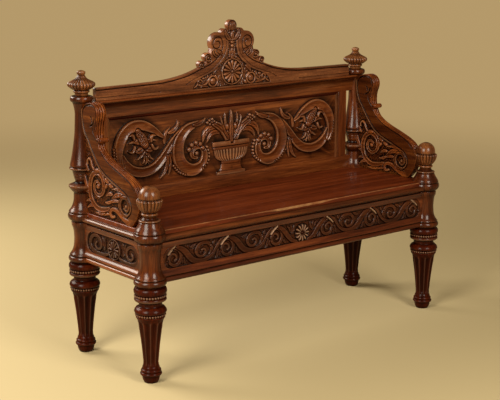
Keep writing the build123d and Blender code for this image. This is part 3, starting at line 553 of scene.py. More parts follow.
# A profile is compared with its own soft copy: what lies behind it gets painted shade, and what stands out is
# painted lighter for wear and highlight
turnedMaskValues = {
    "spacing": 0.5,
    "reach": 24,
    "spread": 9.0,
    "underSlope": 1.2,
    "shadeAndGrimeFrom": 0.2,
    "shadeAndGrimeSpan": 2.6,
    "wearAndHighlightFrom": 1.5,
    "wearAndHighlightSpan": 10.0,
    "wearAndHighlightMost": 0.22,
}


def turnedMasks(piece, profile, under=0.45, values=turnedMaskValues):
    points = readPoints(piece) / mm
    radius = np.hypot(points[:, 0], points[:, 1])
    reach = values["reach"]
    ends = reach * values["spacing"]
    level = np.arange(profile[:, 1].min() - ends, profile[:, 1].max() + ends, values["spacing"])
    outer = np.interp(level, profile[:, 1], profile[:, 0])
    taps = np.exp(-0.5 * (np.arange(-reach, reach + 1) / values["spread"]) ** 2)
    soft = np.convolve(np.pad(outer, reach, "edge"), taps / taps.sum(), "valid")
    hollow = np.interp(points[:, 2], level, soft) - radius
    # undersides that face down get painted shade as well
    slope = np.clip(np.gradient(outer, level) / values["underSlope"], 0, 1)
    faceDown = np.interp(points[:, 2], level, slope)
    shadeAndGrime = np.clip((hollow - values["shadeAndGrimeFrom"]) / values["shadeAndGrimeSpan"], 0, 1)
    writeMask(piece, "shadeAndGrime", shadeAndGrime + faceDown * under)
    wearAndHighlight = (-hollow - values["wearAndHighlightFrom"]) / values["wearAndHighlightSpan"]
    writeMask(piece, "wearAndHighlight", np.clip(wearAndHighlight, 0, values["wearAndHighlightMost"]))


def addBeads(piece, level, ringRadius, beadRadius, count, stretch=1.0):
    bpy.ops.mesh.primitive_uv_sphere_add(segments=10, ring_count=6, radius=beadRadius * mm)
    beads = bpy.context.view_layer.objects.active
    editAll()
    bpy.ops.transform.resize(value=(1, 1, stretch))
    bpy.ops.transform.translate(value=(ringRadius * mm, 0, level * mm))
    angle = math.tau * (count - 1) / count
    bpy.ops.mesh.spin(steps=count - 1, angle=angle, dupli=True, center=(0, 0, 0), axis=(0, 0, 1))
    bpy.ops.object.mode_set(mode="OBJECT")
    bpy.ops.object.shade_smooth()
    points = readPoints(beads) / mm
    out = np.hypot(points[:, 0], points[:, 1]) - ringRadius
    # painted shade between the beads, painted highlights on their crowns
    writeMask(beads, "shadeAndGrime", np.clip(0.7 - out / beadRadius * 1.2, 0, 0.8))
    writeMask(beads, "wearAndHighlight", np.clip(out / beadRadius - 0.5, 0, 0.38))
    joinTo(piece, beads)


legValues = {
    "footRadius": 20.5,
    "members": [
        (22, 27.2, 25.6), (0.8, 30.2), (9.4, 30.4, 32.8), (0.6, 28.6), (8.6, 28.4, 30.6), (0.6, 26.8),
        (6, 26.2), (4, 23.8), (8, 23.5), (116, 36.8, 28.9), (16, 38.8, 37.5), (8, 42.6, 40.2), (0.8, 43.8),
        (4.7, 44.0), (0.8, 41.4), (8.4, 41.4), (0.8, 45.6), (6, 48.8, 48.0), (14, 37.0, 46.2), (3, 35.0),
        (13, 34.4), (0.6, 44.8), (10.5, 46.0, 48.6), (0.8, 43.0), (9.4, 43.0), (0.8, 46.6),
        (18.4, 46.6, 49.8),
    ],
    "flutes": 10,
    "fluteLow": 57.0,
    "fluteHigh": 191.0,
    "fluteDepth": 6.4,
    "fluteShare": 0.90,
    "fluteShade": 0.60,
    "arrisFrom": 0.97,
    "arrisWearAndHighlight": 0.08,
    "beadRows": [(210.5, 42.8, 4.0, 34, 0.95), (268.1, 44.5, 4.4, 34, 1.0)],
}


def makeLeg(values):
    profile = turnedProfile(0, values["footRadius"], values["members"], 0.5)
    leg = spinProfile(profile, fineness["turnSteps"])
    turnedMasks(leg, profile)
    points = readPoints(leg) / mm
    radius = np.hypot(points[:, 0], points[:, 1])
    angle = np.arctan2(points[:, 1], points[:, 0])
    pitch = math.tau / values["flutes"]
    across = ((angle + pitch / 2) % pitch - pitch / 2) * radius
    halfWidth = values["fluteShare"] * pitch * radius / 2
    ends = np.minimum(points[:, 2] - values["fluteLow"], values["fluteHigh"] - points[:, 2])
    inside = np.clip(ends / np.maximum(halfWidth, 1), 0, 1)
    reach = halfWidth * np.sqrt(np.clip(1 - (1 - inside) ** 2, 0, 1))
    share = np.clip(1 - (across / np.maximum(reach, 0.01)) ** 2, 0, 1)
    onColumn = (ends > 0) & (radius > 10)
    cut = np.where(onColumn, np.sqrt(share) * np.sqrt(np.clip(1 - (1 - inside) ** 2, 0, 1)), 0)
    cut *= values["fluteDepth"] * halfWidth / halfWidth[onColumn].max()
    scale = np.where(radius > 1, (radius - cut) / np.maximum(radius, 1), 1)
    points[:, 0] *= scale
    points[:, 1] *= scale
    writePoints(leg, points * mm)
    # painted shade in the flutes; wear and painted highlight along the arrises
    shade = np.clip(cut / values["fluteDepth"], 0, 1) * values["fluteShade"]
    writeMask(leg, "shadeAndGrime", readMask(leg, "shadeAndGrime") + shade)
    arris = onColumn & (np.abs(across) > halfWidth * values["arrisFrom"])
    writeMask(leg, "wearAndHighlight", np.where(arris, values["arrisWearAndHighlight"], readMask(leg, "wearAndHighlight")))
    for row in values["beadRows"]:
        addBeads(leg, *row)
    return leg


postValues = {
    "base": 292.0,
    "footRadius": 40.0,
    "lower": [
        (6.5, 40.0), (1.0, 45.6), (16.5, 45.8, 49.7), (0.6, 43.4), (2.4, 43.4), (0.6, 46.6),
        (32.4, 32.4, 36.0), (23, 31.0, 31.3), (29, 33.8, 31.8), (9, 37.6, 35.4), (7, 38.6), (4.6, 38.6),
        (0.6, 36.6), (5.6, 36.6), (0.8, 43.0), (22.4, 46.6, 49.2), (0.6, 44.2), (2.8, 44.2), (0.6, 46.4),
        (2, 46.2),
    ],
    "front": [
        (0.6, 45.2), (5.9, 43.2), (22.5, 30.8, 36.0), (0.6, 27.4), (0.6, 30.6), (5.6, 30.4, 32.6),
        (0.6, 25.0), (2.6, 23.4), (4.0, 20.9, 22.0),
    ],
    "rear": [
        (0.6, 45.4), (38.4, 30.2, 34.0), (20, 29.8), (0.8, 31), (16.2, 44.2, 38.6), (0.8, 44.8),
        (5.4, 44.8), (0.8, 43.8), (8, 25.0, 33.2), (5, 24.0), (4, 26.5), (8.9, 28.4), (0.6, 27.4),
        (0.6, 29.4), (8.3, 30.6), (0.6, 29.6), (0.6, 31.6), (7.4, 32.8), (5, 37), (0.6, 41.4),
        (5.3, 41.9, 42.4), (0.6, 41), (0.4, 38), (3.1, 38), (0.6, 39.8), (2.4, 40.2), (105, 23.8, 30.2),
        (50, 22), (43, 29.4, 23.4), (1.5, 32.4), (1, 33.8), (16, 33.4, 36.2), (1.5, 28),
    ],
}


def makePost(values, upper):
    profile = turnedProfile(values["base"], values["footRadius"], values["lower"] + values[upper], 0.5)
    post = spinProfile(profile, fineness["turnSteps"] * 3 // 4)
    turnedMasks(post, profile)
    return post


acornValues = {
    "base": 503.0,
    "neckRadius": 19.2,
    "members": [
        (5.5, 19.2), (0.5, 22.4), (7, 22, 25), (0.5, 20.8), (1.0, 20.8), (32.5, 38.8, 34.2),
        (5.5, 37.0, 39.4), (1.5, 32.4), (12, 32.0, 32.6), (10, 29.0, 31.0), (18,),
    ],
    "lobes": 20,
    "lobeLow": 518.0,
    "lobeHigh": 557.5,
    "lobeDepth": 6.0,
    "lobeFade": (0.35, 0.06),
    "rim": (549.0, 556.5, 5.0),
}
turbanValues = {
    "base": 823.0,
    "neckRadius": 20.9,
    "members": [
        (9, 20.9), (0.4, 23), (8, 23, 25.8), (0.6, 25), (9, 39.0, 33.5), (16, 37.8, 43.8), (6, 26.5, 32.0),
        (13, 12.6, 16.5), (2, 10.4), (11, 13.0, 13.6), (4,),
    ],
    "lobes": 24,
    "lobeLow": 841.0,
    "lobeHigh": 885.0,
    "lobeDepth": 6.0,
    "lobeFade": (0.25, 0.12),
    "rim": None,
}


def makeFinial(values):
    profile = turnedProfile(values["base"], values["neckRadius"], values["members"], 0.45)
    finial = spinProfile(profile, fineness["turnSteps"] * 2)
    turnedMasks(finial, profile, 0.0)
    points = readPoints(finial) / mm
    radius = np.hypot(points[:, 0], points[:, 1])
    angle = np.arctan2(points[:, 1], points[:, 0])
    pitch = math.tau / values["lobes"]
    across = np.abs((angle + pitch / 2) % pitch - pitch / 2) / (pitch / 2)
    rise = (points[:, 2] - values["lobeLow"]) / (values["lobeHigh"] - values["lobeLow"])
    inside = (rise > 0) & (rise < 1) & (radius > 9)
    lowFade, highFade = values["lobeFade"]
    fade = np.where(inside, np.sqrt(np.clip(np.minimum(rise / lowFade, (1 - rise) / highFade), 0, 1)), 0)
    valley = 1 - np.sqrt(1 - np.minimum(across, 0.98) ** 2)
    cut = fade * valley * values["lobeDepth"] * np.clip(radius / 40, 0.2, 1)
    scale = np.where(radius > 1, (radius - cut) / np.maximum(radius, 1), 1)
    points[:, 0] *= scale
    points[:, 1] *= scale
    if values["rim"]:
        # each lobe ends in a round tip
        rimLow, rimHigh, drop = values["rim"]
        onRim = (points[:, 2] > rimLow) & (points[:, 2] < rimHigh) & (radius > 34)
        points[:, 2] -= np.where(onRim, across**2 * drop * (points[:, 2] - rimLow) / (rimHigh - rimLow), 0)
    writePoints(finial, points * mm)
    shade = fade * np.clip(valley * 1.6 - 0.15, 0, 1) * 0.9
    writeMask(finial, "shadeAndGrime", readMask(finial, "shadeAndGrime") + shade)
    return finial


legForm = makeLeg(legValues)
frontPostForm = makePost(postValues, "front")
rearPostForm = makePost(postValues, "rear")
acornForm = makeFinial(acornValues)
turbanForm = makeFinial(turbanValues)
for corner, (x, y) in postPlaces.items():
    atFront = corner.startswith("front")
    forms = {
        "leg": legForm,
        "post": frontPostForm if atFront else rearPostForm,
        "finial": acornForm if atFront else turbanForm,
    }
    for part, form in forms.items():
        made = movedCopy(form, (x * mm, y * mm, 0))
        wood = {"leg": legWood, "post": postWood, "finial": finialWood}[part]
        finishPiece(made, corner + "_turned_" + part, [corner + "_" + part], wood)
for form in (legForm, frontPostForm, rearPostForm, acornForm, turbanForm):
    bpy.data.objects.remove(form)
print("stage: turned pieces made")


# Carving. A relief is a field of heights over a flat board, built up from bands, leaves, dots and grooves.
class Relief:
    def __init__(self, uLow, uHigh, vLow, vHigh, step):
        self.step = step
        self.u = np.linspace(uLow, uHigh, int(round((uHigh - uLow) / step)) + 1)
        self.v = np.linspace(vLow, vHigh, int(round((vHigh - vLow) / step)) + 1)
        self.gridU, self.gridV = np.meshgrid(self.u, self.v)
        self.height = np.zeros(self.gridU.shape)
        self.shade = np.zeros(self.gridU.shape)
        self.paintedHighlight = np.zeros(self.gridU.shape)
        self.contrast = 1.0

    def near(self, lowU, highU, lowV, highV):
        a, b = np.searchsorted(self.u, (lowU, highU))
        c, d = np.searchsorted(self.v, (lowV, highV))
        return slice(max(c - 1, 0), d + 1), slice(max(a - 1, 0), b + 1)

    def follow(self, line, reach):
        # distance from a line, its half width there, the side of it and how far along, over the whole field
        away = np.full(self.height.shape, 1e6)
        width = np.ones(self.height.shape)
        side = np.zeros(self.height.shape)
        along = np.zeros(self.height.shape)
        lengths = np.hypot(np.diff(line[:, 0]), np.diff(line[:, 1]))
        total = max(lengths.sum(), 1e-6)
        done = 0.0
        for a, b, length in zip(line[:-1], line[1:], lengths):
            if length < 1e-6:
                continue
            (lowU, highU), (lowV, highV) = sorted((a[0], b[0])), sorted((a[1], b[1]))
            window = self.near(lowU - reach, highU + reach, lowV - reach, highV + reach)
            pu, pv = self.gridU[window] - a[0], self.gridV[window] - a[1]
            du, dv = (b[0] - a[0]) / length, (b[1] - a[1]) / length
            t = np.clip(pu * du + pv * dv, 0, length)
            gap = np.hypot(pu - t * du, pv - t * dv)
            closer = gap < away[window]
            away[window] = np.where(closer, gap, away[window])
            width[window] = np.where(closer, a[2] + (b[2] - a[2]) * t / length, width[window])
            side[window] = np.where(closer, np.sign(du * pv - dv * pu), side[window])
            along[window] = np.where(closer, (done + t) / total, along[window])
            done += length
        return away, np.maximum(width, 0.05), side, along

    def band(self, points, height, form, trench=1.6, sink=0.55):
        line = smoothLine(points)
        reach = line[:, 2].max() + trench + 1
        away, width, side, along = self.follow(line, reach)
        q = away / width
        shape = bandForms[form](np.clip(q, 0, 1), np.clip(q, 0, 1) * side, along)
        rim = (q >= 1) & (away < width + trench)
        self.height = np.where(rim, self.height * sink, self.height)
        self.height = np.where(q < 1, np.maximum(self.height * 0.3, height * shape), self.height)

    def leaf(self, base, tip, halfWidth, height, bend=0.15, lobes=0, form="leaf"):
        du, dv = tip[0] - base[0], tip[1] - base[1]
        points = []
        for t in np.linspace(0, 1, 13):
            swing = 4 * bend * t * (1 - t)
            wide = halfWidth * max(math.sin(math.pi * (0.12 + 0.88 * t) ** 0.8), 0) ** 0.8
            if lobes:
                wide *= 0.72 + 0.28 * abs(math.cos(math.pi * lobes * t))
            points.append((base[0] + du * t - dv * swing, base[1] + dv * t + du * swing, max(wide, 0.4)))
        self.band(points, height, form)

    def dot(self, centre, radius, height, flat=1.0, turn=0.0, trench=1.4):
        reach = radius * max(1, flat) + trench + 1
        window = self.near(centre[0] - reach, centre[0] + reach, centre[1] - reach, centre[1] + reach)
        pu, pv = self.gridU[window] - centre[0], self.gridV[window] - centre[1]
        c, s = math.cos(turn), math.sin(turn)
        r = np.hypot(pu * c + pv * s, (pv * c - pu * s) / flat)
        dome = np.sqrt(np.clip(1 - (r / radius) ** 2, 0, 1))
        old = self.height[window]
        old = np.where((r >= radius) & (r < radius + trench), old * 0.5, old)
        self.height[window] = np.where(r < radius, np.maximum(old * 0.3, height * (0.25 + 0.75 * dome)), old)

    def beadRow(self, points, radius, height):
        line = smoothLine([(*p, 1) for p in points])
        lengths = np.concatenate([[0], np.cumsum(np.hypot(np.diff(line[:, 0]), np.diff(line[:, 1])))])
        count = max(2, int(round(lengths[-1] / (2.1 * radius))))
        for place in np.linspace(0, lengths[-1], count + 1):
            centre = (np.interp(place, lengths, line[:, 0]), np.interp(place, lengths, line[:, 1]))
            self.dot(centre, radius, height, trench=0.6)

    def groove(self, points, halfWidth, depth):
        line = smoothLine([(*p, halfWidth) for p in points])
        away = self.follow(line, halfWidth + 1)[0]
        self.height = self.height - depth * np.sqrt(np.clip(1 - (away / halfWidth) ** 2, 0, 1))

    def plateau(self, corners, height, outside=False):
        # flat raised part within a line of corners, or all round it
        inside = polygonGap(corners, self.gridU, self.gridV)[0] > 0
        self.height = np.where(inside != outside, np.maximum(self.height, height), self.height)

    def stipple(self, seed, size, height):
        # punched texture of a sunk ground
        grains = blur(np.random.default_rng(seed).normal(size=self.height.shape), size / self.step)
        self.height = self.height + height * np.clip(0.5 + 0.5 * grains / grains.std(), 0, 1.4)

    def spokes(self, centre, inner, outer, petals, halfWidth, height):
        # separate petals like the bowls of spoons
        for turn in np.arange(petals) * math.tau / petals + math.pi / 2:
            line = []
            for share, wide in ((0, 0.25), (0.35, 0.55), (0.7, 0.95), (0.9, 0.95), (1, 0.6)):
                far = inner + (outer - halfWidth * 0.5 - inner) * share
                u, v = centre[0] + far * math.cos(turn), centre[1] + far * math.sin(turn)
                line.append((u, v, halfWidth * wide))
            self.band(line, height, "round", 1.0)

    def stain(self, points, halfWidth, amount):
        # painted shade along a groove, with the dark old polish that sits in it
        line = smoothLine([(*p[:2], halfWidth) for p in points])
        away = self.follow(line, halfWidth * 2 + 1)[0]
        self.shade = np.maximum(self.shade, amount * np.clip(1.5 - away / halfWidth, 0, 1))

    def paintHighlight(self, points, amount):
        # painted highlight along a high ridge
        line = smoothLine(points)
        away, width = self.follow(line, line[:, 2].max() + 1)[:2]
        self.paintedHighlight = np.maximum(self.paintedHighlight, amount * np.clip(1.2 - away / width, 0, 1))

    def darken(self, level, amount):
        # parts lower than the level are shaded
        self.shade = self.shade + amount * np.clip(1.2 - self.height / level, 0, 1)

    def soften(self, size):
        self.height = blur(self.height, size / self.step)

    def masks(self):
        # painted shade in hollows from the blurred heights plus the shade field; wear and painted highlights
        # on high parts
        soft = blur(self.height, 4.0 / self.step)
        fine = blur(self.height, 1.6 / self.step)
        shadeAndGrime = np.clip((soft - self.height) / 3.2, 0, 0.6) + np.clip((fine - self.height) / 1.4, 0, 0.45)
        shadeAndGrime = shadeAndGrime * self.contrast + self.shade
        wearAndHighlight = np.clip((self.height - soft) / 8.0 - 0.10, 0, 0.34) * self.contrast + self.paintedHighlight
        return shadeAndGrime, wearAndHighlight

    def mirrored(self):
        self.height = np.hstack([self.height[:, :0:-1], self.height])
        self.shade = np.hstack([self.shade[:, :0:-1], self.shade])
        self.paintedHighlight = np.hstack([self.paintedHighlight[:, :0:-1], self.paintedHighlight])
        self.u = np.concatenate([-self.u[:0:-1], self.u])
        self.gridU, self.gridV = np.meshgrid(self.u, self.v)


def blur(field, sigma):
    reach = max(1, int(3 * sigma))
    taps = np.exp(-0.5 * (np.arange(-reach, reach + 1) / max(sigma, 0.05)) ** 2)
    taps /= taps.sum()
    for axis in (0, 1):
        wide = np.pad(field, [(reach, reach) if k == axis else (0, 0) for k in (0, 1)], "edge")
        size = field.shape[axis]
        parts = [wide[k : k + size] if axis == 0 else wide[:, k : k + size] for k in range(2 * reach + 1)]
        field = sum(tap * part for tap, part in zip(taps, parts))
    return field


def smoothLine(points, spacing=3.0):
    # curve through all the points, with their half widths
    p = np.array(points, float)
    p = np.vstack([2 * p[0] - p[1], p, 2 * p[-1] - p[-2]])
    line = [p[1]]
    for a, b, c, d in zip(p[:-3], p[1:-2], p[2:-1], p[3:]):
        count = max(2, int(math.hypot(*(c - b)[:2]) / spacing))
        for t in np.linspace(0, 1, count + 1)[1:]:
            square = (2 * a - 5 * b + 4 * c - d) * t**2
            cube = (3 * b - a - 3 * c + d) * t**3
            line.append(0.5 * (2 * b + (c - a) * t + square + cube))
    line = np.array(line)
    line[:, 2] = np.maximum(line[:, 2], 0.3)
    return line


def polygonGap(corners, u, v):
    # distance to a closed outline, positive inside, and the direction that leads inwards
    best = np.full(u.shape, 1e12)
    nearU, nearV = np.zeros(u.shape), np.zeros(u.shape)
    inside = np.zeros(u.shape, bool)
    ring = [np.array(corner[:2], float) for corner in corners]
    for a, b in zip(ring, ring[1:] + ring[:1]):
        du, dv = b - a
        length = du * du + dv * dv
        if length < 1e-9:
            continue
        t = np.clip(((u - a[0]) * du + (v - a[1]) * dv) / length, 0, 1)
        fu, fv = a[0] + t * du, a[1] + t * dv
        gap = (u - fu) ** 2 + (v - fv) ** 2
        closer = gap < best
        best = np.where(closer, gap, best)
        nearU, nearV = np.where(closer, fu, nearU), np.where(closer, fv, nearV)
        crosses = (a[1] > v) != (b[1] > v)
        if abs(dv) > 1e-9:
            inside ^= crosses & (u < a[0] + (v - a[1]) * du / dv)
    gap = np.sqrt(best)
    sign = np.where(inside, 1.0, -1.0)
    far = np.maximum(gap, 1e-6)
    return gap * sign, (u - nearU) / far * sign, (v - nearV) / far * sign


def joinedGap(corners, circles, u, v):
    # the same for an outline with round scrolls built on to it
    gap, slopeU, slopeV = polygonGap(corners, u, v)
    for cu, cv, radius in circles:
        away = np.maximum(np.hypot(u - cu, v - cv), 1e-6)
        more = radius - away > gap
        gap = np.where(more, radius - away, gap)
        slopeU = np.where(more, (cu - u) / away, slopeU)
        slopeV = np.where(more, (cv - v) / away, slopeV)
    return gap, slopeU, slopeV


def edgeFade(q):
    # round shoulder of a band
    inward = np.clip((1 - q) / 0.32, 0, 1)
    return np.sqrt(1 - (1 - inward) ** 2)


# Cross sections of a band. q: distance from its middle line, s: the same with its side, t: the way along
bandForms = {
    "round": lambda q, s, t: np.sqrt(np.clip(1 - q**2, 0, 1)),
    "hollow": lambda q, s, t: edgeFade(q) * (0.50 + 0.78 * np.abs(s) ** 2.2),
    "reeded": lambda q, s, t: edgeFade(q) * (0.62 + 0.38 * np.abs(np.cos(1.5 * math.pi * s))),
    "leaf": lambda q, s, t: edgeFade(q) * (0.95 - 0.35 * q**2 - 0.32 * np.exp(-((s / 0.16) ** 2))),
    "veined": lambda q, s, t: edgeFade(q)
    * (0.92 - 0.3 * q**2 - 0.3 * np.exp(-((s / 0.14) ** 2)) - 0.14 * np.abs(np.sin(16 * t + 4.5 * q)) ** 3),
    "hood": lambda q, s, t: edgeFade(q)
    * (0.62 + 0.52 * np.abs(s) ** 1.8 - 0.10 * np.abs(np.sin(20 * t)) ** 6 * (1 - np.abs(s))),
    "strap": lambda q, s, t: edgeFade(q) * (0.84 + 0.16 * np.abs(s) ** 2),
}


def spiralPoints(centre, outer, inner, startTurn, turns, outerWidth, innerWidth):
    # start and turns are in degrees, anticlockwise
    count = max(6, int(abs(turns) / 24))
    points = []
    for t in np.linspace(0, 1, count + 1):
        angle = math.radians(startTurn + turns * t)
        radius = outer + (inner - outer) * t
        width = outerWidth + (innerWidth - outerWidth) * t
        points.append((centre[0] + radius * math.cos(angle), centre[1] + radius * math.sin(angle), width))
    return points


def carvedSheet(relief):
    # grid with the relief's heights; the sheet lies in the XZ plane and faces -Y
    rows, columns = relief.height.shape
    bpy.ops.mesh.primitive_grid_add(x_subdivisions=columns - 1, y_subdivisions=rows - 1, size=1)
    sheet = bpy.context.view_layer.objects.active
    points = np.stack([relief.gridU.ravel(), -relief.height.ravel(), relief.gridV.ravel()], 1)
    writePoints(sheet, points * mm)
    shadeAndGrime, wearAndHighlight = relief.masks()
    writeMask(sheet, "shadeAndGrime", shadeAndGrime.ravel())
    writeMask(sheet, "wearAndHighlight", wearAndHighlight.ravel())
    return sheet


def closeBack(sheet, depth):
    # walls from the rim of the sheet to a flat back
    chooseOnly(sheet)
    bpy.ops.object.mode_set(mode="EDIT")
    bpy.ops.mesh.select_mode(type="EDGE")
    bpy.ops.mesh.select_all(action="DESELECT")
    bpy.ops.mesh.select_non_manifold(extend=False, use_boundary=True)
    bpy.ops.mesh.extrude_region_move(TRANSFORM_OT_translate={"value": (0, depth * mm, 0)})
    bpy.ops.transform.resize(value=(1, 0, 1), center_override=(0, depth * mm, 0))
    bpy.ops.mesh.edge_face_add()
    closeEdit()


def lighten(piece, limit):
    chooseOnly(piece)
    triangles = sum(len(face.vertices) - 2 for face in piece.data.polygons)
    if triangles > limit:
        fewer = piece.modifiers.new("fewer", "DECIMATE")
        fewer.ratio = limit / triangles
        bpy.ops.object.modifier_apply(modifier="fewer")
    bpy.ops.object.shade_smooth_by_angle(angle=math.radians(50))


def outlineBoard(relief, outline, groundGap, rearRelief, rows, reedShare):
    # Board cut to an outline with a carved front, a carved or flat rear and a moulded edge between them.
    # rows: (share of the way to the rear, plain edge, reeded edge), both edges in mm outside the face's rim
    u, v = relief.gridU.copy(), relief.gridV.copy()
    gap = outline(u, v)[0]
    rim = np.abs(gap) < 0.74 * relief.step
    for _ in range(3):
        near, su, sv = outline(u[rim], v[rim])
        u[rim] -= near * su
        v[rim] -= near * sv
    keep = (gap > 0) | rim
    quads = keep[:-1, :-1] & keep[:-1, 1:] & keep[1:, :-1] & keep[1:, 1:]
    number = np.arange(keep.size).reshape(keep.shape)
    corners = [number[:-1, :-1], number[:-1, 1:], number[1:, 1:], number[1:, :-1]]
    faces = np.stack([corner[quads] for corner in corners], 1)
    used, faces = np.unique(faces, return_inverse=True)
    faces = faces.reshape(-1, 4)
    count = len(used)
    flatU, flatV = u.ravel()[used], v.ravel()[used]
    front = -relief.height.ravel()[used]
    rear = groundGap + (relief.height.ravel()[used] if rearRelief else np.zeros(count))
    edges = np.concatenate([faces[:, [k, (k + 1) % 4]] for k in range(4)])
    forward = edges[:, 0] * count + edges[:, 1]
    backward = edges[:, 1] * count + edges[:, 0]
    border = edges[~np.isin(forward, backward)]
    rimNumbers = np.unique(border)
    place = np.full(count, -1)
    place[rimNumbers] = np.arange(len(rimNumbers))
    su, sv = outline(flatU[rimNumbers], flatV[rimNumbers])[1:]
    reeds = reedShare(flatU[rimNumbers], flatV[rimNumbers])
    points = [np.stack([flatU, front, flatV], 1), np.stack([flatU, rear, flatV], 1)]
    shadeAndGrime, wearAndHighlight = relief.masks()
    shadeAndGrime, wearAndHighlight = shadeAndGrime.ravel()[used], wearAndHighlight.ravel()[used]
    shadeAndGrimeParts = [shadeAndGrime, shadeAndGrime if rearRelief else shadeAndGrime * 0]
    wearAndHighlightParts = [wearAndHighlight, wearAndHighlight if rearRelief else wearAndHighlight * 0]
    fullDepth = max(rows[len(rows) // 2][1] - min(row[2] for row in rows), 0.1)
    for share, plain, reeded in rows:
        out = plain + (reeded - plain) * reeds
        across = front[rimNumbers] + (rear - front)[rimNumbers] * share
        points.append(np.stack([flatU[rimNumbers] - su * out, across, flatV[rimNumbers] - sv * out], 1))
        # painted shade in the valleys between the reeds
        shadeAndGrimeParts.append(np.clip((plain - reeded) / fullDepth, 0, 1) * reeds * 0.95)
        wearAndHighlightParts.append(np.zeros(len(rimNumbers)))
    rings = [border]
    for k in range(len(rows)):
        rings.append(2 * count + k * len(rimNumbers) + place[border])
    rings.append(border + count)
    walls = []
    for a, b in zip(rings[:-1], rings[1:]):
        walls.append(np.stack([a[:, 1], a[:, 0], b[:, 0], b[:, 1]], 1))
    allFaces = np.concatenate([faces, faces[:, ::-1] + count] + walls)
    mesh = bpy.data.meshes.new("board")
    mesh.from_pydata((np.concatenate(points) * mm).tolist(), [], allFaces.tolist())
    board = bpy.data.objects.new("board", mesh)
    bpy.context.scene.collection.objects.link(board)
    writeMask(board, "shadeAndGrime", np.concatenate(shadeAndGrimeParts))
    writeMask(board, "wearAndHighlight", np.concatenate(wearAndHighlightParts))
    chooseOnly(board)
    bpy.ops.object.mode_set(mode="EDIT")
    closeEdit()
    return board


def edgeRows(width, reeds, depth, round):
    # rows across the edge of a board: rounded corners, and reeds between them
    rows = [(0.35 * round / width, 0.75 * round, 0.75 * round), (round / width, round, round)]
    low = 1.6 * round / width
    span = 1 - 2 * low
    for reed in range(reeds):
        for part in range(9):
            f = part / 8 * 2 - 1
            if reed and part == 0:
                continue
            drop = depth * (1 - math.sqrt(max(0, 1 - f * f * 0.98)))
            rows.append((low + span * (reed + part / 8) / reeds, round, round - drop))
    if not reeds:
        rows.append((0.5, round, round))
    rows += [(1 - share, plain, reeded) for share, plain, reeded in rows[1::-1]]
    return rows


def turnSheet(piece, shift):
    # turns a sheet that faces -Y to face +X, and puts it in place
    points = readPoints(piece)
    writePoints(piece, np.stack([-points[:, 1] + shift * mm, points[:, 0], points[:, 2]], 1))


def cutEach(cut, rows):
    # the same kind of cut for each row of measures
    for row in rows:
        cut(*row)


